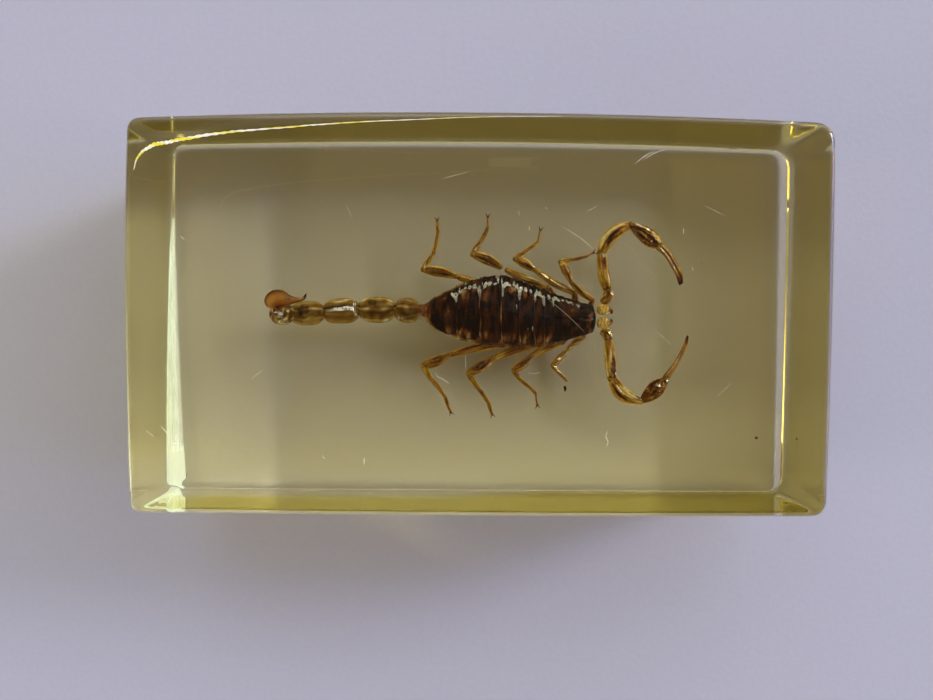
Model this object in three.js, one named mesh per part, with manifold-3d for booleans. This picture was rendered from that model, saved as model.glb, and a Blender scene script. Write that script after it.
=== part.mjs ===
// A small scorpion cast in a clear resin block, in millimetres, +Z up. The origin is the middle of the block's base;
// the scorpion lies along X with its head towards +X, its back up and its left side towards +Y.
// The block is one casting, parted here into a lower and an upper half around the pocket that the scorpion fills.
import * as THREE from "three";
import { mergeVertices } from "three/addons/utils/BufferGeometryUtils.js";
import Module from "manifold-3d";

const wasm = await Module();
wasm.setup();

// ---------------------------------------------------------------- driving dimensions
const BLOCK_LENGTH = 73;
const BLOCK_WIDTH = 41.6;
const BLOCK_HEIGHT = 20;
const PARTING_HEIGHT = 9.5; // where the two halves of the casting meet
const EDGE_ROUNDING = 0.8; // of the top and bottom edges
// How far the middle of each side stands out past its corners: the block was ground and polished by hand.
const SIDE_BULGE = { right: 0.25, back: 0.7, left: 0.45, front: 0.35 };
const CORNER_RADIUS = { backRight: 2.4, backLeft: 1.6, frontLeft: 1.4, frontRight: 1.8 };
const POINTS_ALONG_SIDE = 4;
const POINTS_ROUND_CORNER = 4;

const CLEARANCE = 0.18; // from the scorpion to the wall of its pocket
const POCKET_FINEST_EDGE = 0.08;

const FINEST_EDGE = 0.03; // shorter edges, where two shapes cross, are drawn together

const UP = new THREE.Vector3(0, 0, 1);
const FORWARD = new THREE.Vector3(1, 0, 0);

// ---------------------------------------------------------------- materials
const matte = (color, roughness) => new THREE.MeshStandardMaterial({ color, roughness, metalness: 0 });
const RESIN = new THREE.MeshStandardMaterial({
  color: 0xcfc48a,
  roughness: 0.08,
  metalness: 0,
  transparent: true,
  opacity: 0.35,
});
const BACK_SHELL = matte(0x3b2015, 0.3);
const LIMB_SHELL = matte(0xa0691f, 0.35);
const TAIL_SHELL = matte(0x7d6030, 0.3);
const STINGER_SHELL = matte(0xa35f16, 0.25);

// ---------------------------------------------------------------- meshes and solids
// One closed skin over rings that all have the same number of points, with a fan on each end.
function skin(rings) {
  const count = rings[0].length;
  const middle = (ring) => ring.reduce((sum, p) => sum.add(p), new THREE.Vector3()).divideScalar(count);
  const points = [...rings.flat(), middle(rings[0]), middle(rings.at(-1))];
  const [firstEnd, lastEnd] = [points.length - 2, points.length - 1];
  const faces = [];
  for (let i = 0; i < count; i++) {
    const j = (i + 1) % count;
    for (let r = 0; r + 1 < rings.length; r++) {
      const [a, b] = [r * count, (r + 1) * count];
      faces.push(a + i, a + j, b + j, a + i, b + j, b + i);
    }
    const last = (rings.length - 1) * count;
    faces.push(firstEnd, j, i, lastEnd, last + i, last + j);
  }
  const geometry = new THREE.BufferGeometry().setFromPoints(points);
  geometry.setIndex(faces);
  return geometry;
}

// A closed three.js geometry as a solid that can be joined and cut. A skin that winds inwards is turned over.
function solidOf(geometry) {
  const bare = geometry.clone();
  bare.deleteAttribute("normal");
  bare.deleteAttribute("uv");
  const merged = mergeVertices(bare, 1e-5);
  const vertProperties = new Float32Array(merged.attributes.position.array);
  const make = (triVerts) => new wasm.Manifold(new wasm.Mesh({ numProp: 3, vertProperties, triVerts }));
  const order = new Uint32Array(merged.index.array);
  const solid = make(order);
  return solid.volume() < 0 ? make(order.reverse()) : solid;
}

function geometryOf(solid) {
  const mesh = solid.getMesh();
  const geometry = new THREE.BufferGeometry();
  geometry.setAttribute("position", new THREE.BufferAttribute(mesh.vertProperties, 3));
  geometry.setIndex(new THREE.BufferAttribute(mesh.triVerts, 1));
  geometry.computeVertexNormals();
  return geometry;
}

const joined = (solids) => solids.reduce((whole, piece) => whole.add(piece)).simplify(FINEST_EDGE);

// ---------------------------------------------------------------- shapes of the shell
// Radii spread evenly along a tube, read at a share from 0 to 1 with straight steps between them.
function radiusAt(radii, share) {
  const place = Math.min(share, 0.9999) * (radii.length - 1);
  const before = Math.floor(place);
  return THREE.MathUtils.lerp(radii[before], radii[before + 1], place - before);
}

// A round or oval tube along a smooth line through points [x, y, z]. height is its depth as a share of its width.
function tube({ points, radii, sides = 6, height = 1, steps }) {
  const corners = points.map((p) => new THREE.Vector3(...p));
  const line = corners.length > 2 ? new THREE.CatmullRomCurve3(corners) : new THREE.LineCurve3(...corners);
  const rings = [];
  const last = steps ?? radii.length - 1;
  for (let step = 0; step <= last; step++) {
    const share = step / last;
    const centre = line.getPointAt(share);
    const along = line.getTangentAt(share);
    const side = new THREE.Vector3().crossVectors(UP, along).normalize();
    const over = new THREE.Vector3().crossVectors(along, side);
    const radius = radiusAt(radii, share);
    const ring = [];
    for (let i = 0; i < sides; i++) {
      const turn = (2 * Math.PI * (i + 0.5)) / sides;
      ring.push(
        centre
          .clone()
          .addScaledVector(side, radius * Math.cos(turn))
          .addScaledVector(over, radius * height * Math.sin(turn)),
      );
    }
    rings.push(ring);
  }
  return skin(rings);
}

// A plain prism that clears everything within radius of the straight line from one point to another.
function prism(from, to, radius, sides = 4) {
  const [a, b] = [new THREE.Vector3(...from), new THREE.Vector3(...to)];
  const along = b.clone().sub(a).setLength(radius * 0.8);
  const reach = radius / Math.cos(Math.PI / sides);
  const points = [a.sub(along), b.add(along)].map((p) => p.toArray());
  return solidOf(tube({ points, radii: [reach, reach], sides }));
}

// The hollow round one tube: a prism from its first point to its last, wide enough for its swelling and its bend.
function hollowFor({ points, radii, height = 1 }, sides) {
  const line = new THREE.Line3(new THREE.Vector3(...points[0]), new THREE.Vector3(...points.at(-1)));
  const offLine = (p) => line.closestPointToPoint(p, true, new THREE.Vector3()).distanceTo(p);
  const bend = Math.max(...points.map((p) => offLine(new THREE.Vector3(...p))));
  const reach = Math.max(...radii) * Math.max(1, height) + bend + CLEARANCE;
  return prism(points[0], points.at(-1), reach, sides);
}

const hollowForAll = (tubes, sides) => joined(tubes.map((t) => hollowFor(t, sides)));

// Leaves out the crumbs of resin that stand free between crossing hollows.
const largestPart = (solid) => solid.decompose().reduce((a, b) => (a.volume() > b.volume() ? a : b));

const shellOf = (tubes) => joined(tubes.map((t) => solidOf(tube(t))));

// ---------------------------------------------------------------- the resin block
// The block's outline as seen from above, drawn in by inset all round.
function blockOutline(inset) {
  const [x, y] = [BLOCK_LENGTH / 2, BLOCK_WIDTH / 2];
  const { right, back, left, front } = SIDE_BULGE;
  // Corners are where the straight sides would meet, and each side then bows out by its bulge.
  const corners = [
    { at: [x - right, -(y - front)], radius: CORNER_RADIUS.frontRight, bulge: [right, 0] },
    { at: [x - right, y - back], radius: CORNER_RADIUS.backRight, bulge: [0, back] },
    { at: [-(x - left), y - back], radius: CORNER_RADIUS.backLeft, bulge: [-left, 0] },
    { at: [-(x - left), -(y - front)], radius: CORNER_RADIUS.frontLeft, bulge: [0, -front] },
  ];
  const outline = [];
  corners.forEach(({ at, radius, bulge }, i) => {
    const before = new THREE.Vector2(...corners.at(i - 1).at);
    const here = new THREE.Vector2(...at);
    const next = corners[(i + 1) % corners.length];
    const after = new THREE.Vector2(...next.at);
    const into = here.clone().sub(before).setLength(radius);
    const out = after.clone().sub(here).setLength(radius);
    const [start, end] = [here.clone().sub(into), here.clone().add(out)];
    const sideEnd = after.clone().sub(out.clone().setLength(next.radius));
    const bow = new THREE.Vector2(...bulge).multiplyScalar(2);
    const crown = end.clone().add(sideEnd).multiplyScalar(0.5).add(bow);
    outline.push(...new THREE.QuadraticBezierCurve(start, here, end).getPoints(POINTS_ROUND_CORNER));
    const side = new THREE.QuadraticBezierCurve(end, crown, sideEnd).getPoints(POINTS_ALONG_SIDE);
    outline.push(...side.slice(1, -1));
  });
  return outline.map((p, i) => {
    const along = outline[(i + 1) % outline.length].clone().sub(outline.at(i - 1)).normalize();
    return new THREE.Vector2(p.x - along.y * inset, p.y + along.x * inset);
  });
}

const layer = ([height, inset]) => blockOutline(inset).map((p) => new THREE.Vector3(p.x, p.y, height));

// [height, inset] of the layers that round an edge, from the flat face inwards.
const EDGE = [
  [0, EDGE_ROUNDING],
  [EDGE_ROUNDING * 0.29, EDGE_ROUNDING * 0.29],
  [EDGE_ROUNDING, 0],
];
const LOWER_LAYERS = [...EDGE, [PARTING_HEIGHT, 0]];
const UPPER_LAYERS = [[PARTING_HEIGHT, 0], ...EDGE.map(([h, inset]) => [BLOCK_HEIGHT - h, inset]).reverse()];

// ---------------------------------------------------------------- the scorpion's body
// Each station of the body from the tail's socket to the brow: [x, middle y, half width, top z, bottom z].
const BODY_STATIONS = [
  [-6.75, 0.5, 0.8, 10.2, 9.0],
  [-5.9, 0.4, 0.92, 10.4, 8.8],
  [-4.9, 0.35, 1.75, 10.8, 8.4],
  [-3.5, 0.35, 2.6, 11.4, 8.1],
  [-2.0, 0.45, 3.15, 11.9, 7.9],
  [-0.6, 0.6, 3.6, 12.2, 7.8],
  [1.9, 0.65, 4.05, 12.5, 7.8],
  [3.3, 0.55, 4.05, 12.5, 7.9],
  [5.1, 0.2, 3.8, 12.4, 8.1],
  [6.8, -0.05, 3.35, 12.1, 8.2],
  [8.4, -0.2, 2.95, 11.8, 8.2],
  [10.0, -0.25, 2.5, 11.6, 8.2],
  [11.7, -0.25, 1.95, 11.3, 8.3],
  [13.0, -0.2, 1.65, 10.8, 8.6],
];
const WIDEST_HEIGHT = 9.6; // of the body's flanks
const BODY_SIDES = 12;
const BACK_FULLNESS = 0.85; // under 1, the back is fuller than an oval
// The back edge of each plate of the back, from the tail to the head shield.
const PLATE_EDGES = [-2.3, 0.3, 2.6, 4.6, 6.2, 7.3, 8.3];
const PLATE_LIP = 0.14; // how far a plate's back edge stands over the next plate
const LIP_LENGTH = 0.16;
const BROW_ROUNDING = 0.25;
const EYE_MOUND = { x: 10.9, y: -0.25, z: 11.42, radius: 0.34 };
const EYE_SPACING = 0.24;
const EYE_RADIUS = 0.17;

function bodyStation(x) {
  const i = Math.max(1, BODY_STATIONS.findIndex((s) => s[0] >= x));
  const [a, b] = [BODY_STATIONS[i - 1], BODY_STATIONS[i]];
  const share = (x - a[0]) / (b[0] - a[0]);
  return a.map((value, k) => THREE.MathUtils.lerp(value, b[k], share));
}

// A ring round the body at x. lift raises the back and the flanks over the plain station, grow widens it all round.
function bodyRing(x, lift, { grow = 0, scale = 1, sides = BODY_SIDES } = {}) {
  const [, middle, halfWidth, top, bottom] = bodyStation(x);
  const ring = [];
  for (let i = 0; i < sides; i++) {
    const turn = (2 * Math.PI * (i + 0.5)) / sides;
    const [c, s] = [Math.cos(turn), Math.sin(turn)];
    const depth = s > 0 ? top - WIDEST_HEIGHT + lift : WIDEST_HEIGHT - bottom;
    const rise = Math.sign(s) * Math.abs(s) ** BACK_FULLNESS * (depth + grow) * scale;
    const out = Math.sign(c) * Math.abs(c) ** BACK_FULLNESS * (halfWidth + lift + grow) * scale;
    ring.push(new THREE.Vector3(x, middle + out, WIDEST_HEIGHT + rise));
  }
  return ring;
}

function bodyShell() {
  const first = BODY_STATIONS[0][0];
  const brow = BODY_STATIONS.at(-1)[0];
  const rings = BODY_STATIONS.slice(0, 4).map(([x]) => bodyRing(x, 0));
  for (const edge of PLATE_EDGES) {
    rings.push(bodyRing(edge - LIP_LENGTH, -PLATE_LIP / 2), bodyRing(edge, PLATE_LIP));
  }
  rings.push(bodyRing(10, 0), bodyRing(11.7, 0), bodyRing(brow - BROW_ROUNDING, 0));
  const tip = bodyRing(brow, 0, { scale: 0.8 });
  rings.push(tip.map((p) => p.add(FORWARD.clone().multiplyScalar(BROW_ROUNDING / 2))));
  rings[0].forEach((p) => p.setX(first));
  const bump = (x, y, z, radius) => {
    return solidOf(new THREE.SphereGeometry(radius, 8, 5).translate(x, y, z));
  };
  const { x, y, z, radius } = EYE_MOUND;
  const eyes = [-1, 1].map((s) => bump(x + EYE_SPACING / 2, y + s * EYE_SPACING, z + 0.18, EYE_RADIUS));
  return joined([solidOf(skin(rings)), bump(x, y, z, radius), ...eyes]);
}

function bodyHollow() {
  const grow = PLATE_LIP + CLEARANCE + 0.25;
  const ends = [BODY_STATIONS[0][0], BODY_STATIONS.at(-1)[0]];
  const stations = [ends[0], -5.9, -3.5, -0.6, 1.9, 5.1, 11.7, ends[1]];
  const rings = stations.map((x) => bodyRing(x, 0, { grow, sides: 8 }));
  rings[0].forEach((p) => p.setX(ends[0] - CLEARANCE));
  rings.at(-1).forEach((p) => p.setX(ends[1] + BROW_ROUNDING + CLEARANCE));
  return solidOf(skin(rings));
}

// ---------------------------------------------------------------- tail and stinger
// The five rings of the tail from the body outwards: where each starts and ends, and its half width.
const TAIL_RINGS = [
  { from: [-6.85, 0.6, 9.6], to: [-9.3, 0.7, 9.7], radius: 1.32 },
  { from: [-9.3, 0.7, 9.7], to: [-13.3, 0.65, 9.9], radius: 1.38 },
  { from: [-13.3, 0.65, 9.9], to: [-17.2, 0.35, 10.2], radius: 1.36 },
  { from: [-17.2, 0.35, 10.2], to: [-20.7, 0.1, 11.1], radius: 1.3 },
  { from: [-20.7, 0.1, 11.1], to: [-22.3, 0.15, 13.3], radius: 1.18 },
];
const TAIL_HEIGHT = 0.9;
const TAIL_SIDES = 8;
const TAIL_WAIST = 0.6; // width where two rings meet, as a share of a ring's
const TAIL_OVERLAP = 0.1;
const TAIL_PROFILE = [TAIL_WAIST, 0.94, 1, 0.94, TAIL_WAIST];

// The poison bulb starts at the end of the tail and points forwards again, drawn out into the hooked sting.
const STINGER = {
  points: [
    [-22.45, 0.85, 13.85],
    [-22.3, 1.55, 14.1],
    [-21.6, 1.8, 14.2],
    [-20.6, 1.75, 14.15],
    [-19.7, 1.7, 14.05],
    [-19.1, 1.85, 13.85],
    [-18.75, 2.35, 13.6],
  ],
  radii: [0.5, 0.95, 1.12, 0.98, 0.6, 0.34, 0.24, 0.17, 0.04],
  sides: 8,
  steps: 13,
};
const STING_START = 3; // the point where the bulb has drawn in to the sting

function tailTubes() {
  return TAIL_RINGS.map(({ from, to, radius }, i) => {
    const [a, b] = [new THREE.Vector3(...from), new THREE.Vector3(...to)];
    const along = b.clone().sub(a).setLength(TAIL_OVERLAP);
    if (i > 0) a.sub(along);
    if (i < TAIL_RINGS.length - 1) b.add(along);
    const radii = TAIL_PROFILE.map((share) => share * radius);
    return { points: [a.toArray(), b.toArray()], radii, sides: TAIL_SIDES, height: TAIL_HEIGHT };
  });
}

// One hollow for the bulb and a narrower one for the sting.
function stingerHollow() {
  const { points, radii } = STINGER;
  const bulb = { points: points.slice(0, STING_START + 1), radii };
  const sting = { points: points.slice(STING_START), radii: radii.slice(STING_START + 1) };
  return hollowForAll([bulb, sting], 5);
}

// ---------------------------------------------------------------- jaws
// Each jaw is a short barrel under the brow with two small hooked fingers that meet in the middle.
const JAW_MIDDLE = { left: 0.82, right: -0.68 };
const JAW_HEIGHT = 10.25;
const JAW_START = 13.22;
const JAW_END = 14.45;
const JAW_RADII = [0.38, 0.56, 0.6, 0.54, 0.36];
const JAW_FINGER_REACH = 0.4;
const JAW_FINGER_RADII = [0.24, 0.17, 0.05];
const JAW_FINGER_INWARDS = 0.42;

function jawTubes(middle) {
  const barrel = {
    points: [[JAW_START, middle, JAW_HEIGHT], [JAW_END, middle, JAW_HEIGHT]],
    radii: JAW_RADII,
    sides: 8,
    height: 0.9,
  };
  const inner = middle - Math.sign(middle) * JAW_FINGER_INWARDS;
  const finger = {
    points: [
      [JAW_END - 0.2, middle, JAW_HEIGHT - 0.1],
      [JAW_END + JAW_FINGER_REACH / 2, (middle + inner * 2) / 3, JAW_HEIGHT - 0.2],
      [JAW_END + JAW_FINGER_REACH, inner, JAW_HEIGHT - 0.4],
    ],
    radii: JAW_FINGER_RADII,
    sides: 5,
  };
  return [barrel, finger];
}

// ---------------------------------------------------------------- pincers
// A pincer arm: upper arm and forearm as tubes that swell between their joints, then the hand with its two fingers.
const PINCERS = {
  left: {
    shoulder: [[13.85, 1.5, 8.95], [14.45, 2.3, 9.3], [14.4, 3.05, 9.4]],
    upperArm: [[14.4, 2.95, 9.4], [13.85, 5.0, 9.7], [13.6, 7.2, 9.9]],
    forearm: [[13.6, 7.0, 9.9], [14.35, 8.6, 10.1], [15.6, 9.6, 10.2], [16.9, 10.1, 10.1]],
    hand: [[16.8, 10.1, 10.1], [18.0, 9.35, 10.0], [19.0, 8.6, 9.9], [19.9, 7.9, 9.8]],
    finger: [[19.7, 8.05, 9.8], [20.8, 7.1, 9.5], [21.6, 6.0, 9.2], [22.3, 4.8, 8.9], [22.7, 3.7, 8.6]],
    fingerRadii: [0.3, 0.24, 0.21, 0.2, 0.18, 0.12],
  },
  right: {
    shoulder: [[13.85, -1.45, 8.95], [14.35, -2.0, 9.3], [14.45, -2.6, 9.4]],
    upperArm: [[14.45, -2.5, 9.4], [14.6, -5.0, 9.7], [14.8, -7.15, 9.9]],
    forearm: [[14.8, -7.0, 9.9], [15.5, -8.35, 10.1], [16.6, -9.2, 10.2], [18.1, -9.7, 10.1]],
    hand: [[18.0, -9.65, 10.1], [19.2, -8.65, 10.0], [20.1, -7.8, 9.9], [20.9, -7.05, 9.8]],
    finger: [[20.7, -7.2, 9.8], [21.9, -5.7, 9.5], [22.6, -4.5, 9.2], [23.1, -3.5, 8.9], [23.4, -2.6, 8.6]],
    fingerRadii: [0.28, 0.22, 0.18, 0.15, 0.12, 0.07],
  },
};
const FINGER_SPACING = 0.17; // of each finger's middle from the line between the two
const SHOULDER_RADII = [0.42, 0.58, 0.42];
const UPPER_ARM_RADII = [0.4, 0.56, 0.62, 0.62, 0.56, 0.42];
const FOREARM_RADII = [0.44, 0.66, 0.76, 0.76, 0.62, 0.34];
const HAND_RADII = [0.3, 0.72, 0.88, 0.84, 0.66, 0.44];

function pincerTubes({ shoulder, upperArm, forearm, hand, finger, fingerRadii }) {
  // The two fingers run side by side, closed to a line, and meet at the tip.
  const fingers = [-1, 1].map((side) => {
    const points = finger.map(([x, y, z], i) => {
      const spacing = side * FINGER_SPACING * (i < finger.length - 1 ? 1 : 0.55);
      return [x + spacing * 0.8, y + spacing * 0.6, z];
    });
    return { points, radii: fingerRadii, sides: 5, steps: 5 };
  });
  return [
    { points: shoulder, radii: SHOULDER_RADII, sides: 6, steps: 3 },
    { points: upperArm, radii: UPPER_ARM_RADII, sides: 6, steps: 4 },
    { points: forearm, radii: FOREARM_RADII, sides: 6, steps: 5 },
    { points: hand, radii: HAND_RADII, sides: 6, steps: 4 },
    ...fingers,
  ];
}

// ---------------------------------------------------------------- legs
// The joints of each leg: hip, edge of the body, end of the thigh, knee, end of the shin, end of the heel, foot.
const LEGS = {
  left_1: [[12.2, 0.2, 7.4], [12.9, 1.9, 8.0], [10.4, 3.9, 8.8], [9.2, 6.1, 9.4], [10.6, 6.4, 8.9], [12.2, 6.8, 8.3], [12.9, 7.2, 7.9]],
  left_2: [[11.1, 0.2, 7.4], [10.9, 2.7, 7.8], [6.4, 5.2, 8.8], [4.2, 6.4, 9.4], [5.6, 7.5, 8.9], [6.7, 8.4, 8.4], [7.0, 9.7, 7.8]],
  left_3: [[10.0, 0.2, 7.4], [7.9, 3.4, 7.8], [3.0, 5.5, 8.9], [-0.5, 7.1, 9.6], [0.4, 8.7, 8.9], [1.1, 10.2, 8.1], [1.1, 11.4, 7.5]],
  left_4: [[8.9, 0.2, 7.3], [4.6, 2.9, 7.2], [-2.4, 4.5, 8.5], [-6.0, 5.2, 9.6], [-5.0, 6.9, 8.9], [-4.5, 9.3, 8.0], [-4.6, 10.8, 7.4]],
  right_1: [[12.2, -0.7, 7.4], [11.8, -2.3, 8.0], [9.9, -3.7, 8.8], [8.2, -5.5, 9.4], [9.1, -6.5, 9.0], [9.9, -7.3, 8.6]],
  right_2: [[11.1, -0.7, 7.4], [9.5, -2.9, 7.8], [5.9, -4.4, 8.8], [3.9, -6.1, 9.4], [4.8, -7.3, 8.9], [6.4, -8.7, 8.2], [6.6, -10.0, 7.7]],
  right_3: [[10.0, -0.7, 7.4], [6.9, -3.2, 7.7], [1.6, -4.7, 8.9], [-1.1, -6.4, 9.4], [-0.1, -8.1, 8.8], [1.1, -9.8, 8.0], [1.5, -11.1, 7.4]],
  right_4: [[8.9, -0.7, 7.4], [3.2, -3.1, 7.6], [-3.3, -4.4, 8.9], [-6.2, -5.6, 9.4], [-5.2, -7.3, 8.8], [-3.8, -9.2, 8.0], [-3.2, -10.9, 7.4]],
};
// The width of each length of a leg from the hip outwards: at its start, swollen middle and end.
const LEG_RADII = [
  [0.34, 0.4, 0.34],
  [0.3, 0.45, 0.3],
  [0.3, 0.55, 0.38],
  [0.34, 0.32, 0.24],
  [0.22, 0.24, 0.2],
  [0.16, 0.21, 0.12],
];
const LEG_GIRTH = { left_1: 0.8, left_2: 0.9, left_3: 1, left_4: 1, right_1: 0.72, right_2: 0.85, right_3: 1, right_4: 1 };
const LEG_SIDES = 5;
const LEG_HEIGHT = 0.75; // each length is flattened, its depth less than its width
const CLAW_LENGTH = 0.45;
const CLAW_SPREAD = 0.5; // radians that each claw turns off the line of the foot
const CLAW_RADII = [0.08, 0.03];
// Two legs have come apart: the left third leg past its thigh, and the foot of the right first leg.
const BROKEN_LEG = "left_3";
const BREAK_AFTER = 2; // lengths of the broken leg that are still on the body
const BREAK_GAP = 0.35;
const FOOTLESS_LEG = "right_1";
const LOOSE_FOOT = [[9.95, -7.75, 8.5], [10.05, -8.5, 8.3]];
const LOOSE_FOOT_RADII = [0.1, 0.15, 0.08];

function lengthsOf(joints, girth, firstLength = 0) {
  return joints.slice(1).map((to, i) => {
    const radii = LEG_RADII[firstLength + i].map((radius) => radius * girth);
    return { points: [joints[i], to], radii, sides: LEG_SIDES, height: LEG_HEIGHT };
  });
}

// The two claws on a foot that points from one joint to the next.
function clawTubes(joints) {
  const [heel, foot] = joints.slice(-2).map((p) => new THREE.Vector3(...p));
  const along = foot.clone().sub(heel).setLength(CLAW_LENGTH);
  const root = foot.clone().addScaledVector(along, -0.2);
  return [-1, 1].map((side) => {
    const tip = foot.clone().add(along.clone().applyAxisAngle(UP, side * CLAW_SPREAD));
    return { points: [root.toArray(), tip.toArray()], radii: CLAW_RADII, sides: 3 };
  });
}

// The hollow round a heel and a foot with its claws.
function footHollow(joints) {
  const [heel, foot] = joints.slice(-2).map((p) => new THREE.Vector3(...p));
  const clawTips = foot.clone().sub(heel).setLength(CLAW_LENGTH).add(foot);
  return hollowFor({ points: [...joints.slice(-3), clawTips.toArray()], radii: [CLAW_LENGTH * CLAW_SPREAD] });
}

// A piece of a leg that ends in a foot: all its lengths and claws, and a hollow for each long length and the foot.
// The hip lies in the hollow that all hips share.
function leggedPiece(leg, joints, { firstLength = 0, suffix = "" } = {}) {
  const name = `leg_${leg}${suffix}`;
  const lengths = lengthsOf(joints, LEG_GIRTH[leg], firstLength);
  const solid = shellOf([...lengths, ...clawTubes(joints)]);
  const long = lengths.slice(firstLength === 0 ? 1 : 0, -2);
  return { name, solid, hollow: hollowForAll(long).add(footHollow(joints)) };
}

function footlessPiece(leg, joints) {
  const lengths = lengthsOf(joints, LEG_GIRTH[leg]);
  return { name: `leg_${leg}`, solid: shellOf(lengths), hollow: hollowForAll(lengths.slice(1)) };
}

// One hollow under the chest for all the hips, wrapped round them.
function hipHollow() {
  const hips = Object.values(LEGS).map((joints) => hollowFor({ points: joints.slice(0, 2), radii: LEG_RADII[0] }));
  return wasm.Manifold.hull(hips);
}

// Every leg, and every end that has come off one.
function legPieces() {
  const whole = Object.entries(LEGS).filter(([name]) => name !== BROKEN_LEG && name !== FOOTLESS_LEG);
  const pieces = whole.map(([leg, joints]) => leggedPiece(leg, joints));
  pieces.push(footlessPiece(FOOTLESS_LEG, LEGS[FOOTLESS_LEG]));

  const broken = LEGS[BROKEN_LEG];
  const outer = broken.slice(BREAK_AFTER);
  const [near, far] = outer.map((p) => new THREE.Vector3(...p));
  outer[0] = near.clone().addScaledVector(far.sub(near).normalize(), BREAK_GAP).toArray();
  pieces.push(footlessPiece(BROKEN_LEG, broken.slice(0, BREAK_AFTER + 1)));
  pieces.push(leggedPiece(BROKEN_LEG, outer, { firstLength: BREAK_AFTER, suffix: "_broken_end" }));

  const foot = { points: LOOSE_FOOT, radii: LOOSE_FOOT_RADII, sides: LEG_SIDES };
  const solid = shellOf([foot, ...clawTubes(LOOSE_FOOT)]);
  const hollow = footHollow(LOOSE_FOOT);
  pieces.push({ name: `leg_${FOOTLESS_LEG}_loose_foot`, solid, hollow });
  return pieces.map((piece) => ({ ...piece, material: LIMB_SHELL }));
}

// ---------------------------------------------------------------- the whole
// Each piece of the scorpion: its name, its solid, the hollow it needs and its material.
function scorpionPieces() {
  const rings = tailTubes();
  const pieces = [
    { name: "body", solid: bodyShell(), hollow: bodyHollow(), material: BACK_SHELL },
    { name: "tail", solid: shellOf(rings), hollow: hollowForAll(rings, 5), material: TAIL_SHELL },
    { name: "stinger", solid: shellOf([STINGER]), hollow: stingerHollow(), material: STINGER_SHELL },
  ];
  for (const [side, middle] of Object.entries(JAW_MIDDLE)) {
    const tubes = jawTubes(middle);
    pieces.push({ name: `jaw_${side}`, solid: shellOf(tubes), hollow: hollowForAll(tubes), material: LIMB_SHELL });
  }
  for (const [side, arm] of Object.entries(PINCERS)) {
    const tubes = pincerTubes(arm);
    pieces.push({ name: `pincer_${side}`, solid: shellOf(tubes), hollow: hollowForAll(tubes), material: LIMB_SHELL });
  }
  return [...pieces, ...legPieces()];
}

function meshOf(name, solid, material) {
  const mesh = new THREE.Mesh(geometryOf(solid), material);
  mesh.name = name;
  return mesh;
}

const block = new THREE.Group();
const pieces = scorpionPieces();
const pocket = joined([...pieces.map(({ hollow }) => hollow), hipHollow()]).simplify(POCKET_FINEST_EDGE);
for (const [name, layers] of Object.entries({ resin_lower: LOWER_LAYERS, resin_upper: UPPER_LAYERS })) {
  const half = solidOf(skin(layers.map(layer))).subtract(pocket);
  block.add(meshOf(name, largestPart(half), RESIN));
}

const scorpion = new THREE.Group();
for (const { name, solid, material } of pieces) scorpion.add(meshOf(name, solid, material));
block.add(scorpion);

export default block;
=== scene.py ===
# %% [markdown]
# # A small scorpion cast in a block of clear resin
#
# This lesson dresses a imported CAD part. The part gives every size and place: a resin block of 73 by 41.6
# by 20 mm, and in its middle the body, tail and limbs of a scorpion 47 mm long. Each cell below builds
# one piece or one finish.

import math

import bmesh
import bpy
import numpy as np
from mathutils import Matrix, Vector


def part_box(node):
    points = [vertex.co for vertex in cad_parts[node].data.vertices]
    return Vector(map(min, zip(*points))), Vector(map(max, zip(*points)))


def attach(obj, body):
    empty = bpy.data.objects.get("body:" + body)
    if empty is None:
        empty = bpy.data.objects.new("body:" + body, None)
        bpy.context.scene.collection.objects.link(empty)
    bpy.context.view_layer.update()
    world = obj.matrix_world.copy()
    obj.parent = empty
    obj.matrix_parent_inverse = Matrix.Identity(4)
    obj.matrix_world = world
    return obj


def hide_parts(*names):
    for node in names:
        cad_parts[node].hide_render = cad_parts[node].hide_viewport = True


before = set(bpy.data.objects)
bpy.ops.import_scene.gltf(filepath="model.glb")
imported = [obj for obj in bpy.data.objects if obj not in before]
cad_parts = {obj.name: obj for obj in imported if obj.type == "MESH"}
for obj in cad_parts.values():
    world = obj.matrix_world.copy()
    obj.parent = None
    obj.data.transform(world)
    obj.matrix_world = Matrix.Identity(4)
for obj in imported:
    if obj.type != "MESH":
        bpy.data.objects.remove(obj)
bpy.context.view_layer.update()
MM = 0.001  # every size below is in millimetres, and every object in metres
print("pieces in the part:", len(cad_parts))

# %% [markdown]
# ## The camera
#
# The block is seen from straight above, from a hand's breadth away, so its far edges draw in strongly.
# The camera is placed by what it must see: it hangs over the middle of the block and leans a little over
# one degree.

# %% Camera
IMAGE_WIDTH = 933  # pixels
FOCAL_LENGTH = 718  # the camera's focal length in the same pixels
SENSOR_WIDTH = 36.0
CAMERA_PLACE = Vector((0.30, -1.73, 93.2)) * MM
CAMERA_LEAN = (-13.5, -18.0)  # how far the view leans left and forwards, in pixels at that focal length
CAMERA_ROLL = math.radians(0.33)

camera_data = bpy.data.cameras.new("camera")
camera_data.sensor_width = SENSOR_WIDTH
camera_data.lens = SENSOR_WIDTH * FOCAL_LENGTH / IMAGE_WIDTH
camera_data.clip_start, camera_data.clip_end = 1 * MM, 5.0
camera = bpy.data.objects.new("camera", camera_data)
bpy.context.scene.collection.objects.link(camera)
bpy.context.scene.camera = camera
right = Vector((math.cos(CAMERA_ROLL), math.sin(CAMERA_ROLL), 0))
back = -Vector((*CAMERA_LEAN, -FOCAL_LENGTH)).normalized()
up = back.cross(right).normalized()
right = up.cross(back)
turn = Matrix((right, up, back)).transposed()
camera.matrix_world = Matrix.Translation(CAMERA_PLACE) @ turn.to_4x4()
print("lens:", round(camera_data.lens, 2), "mm")

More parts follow.
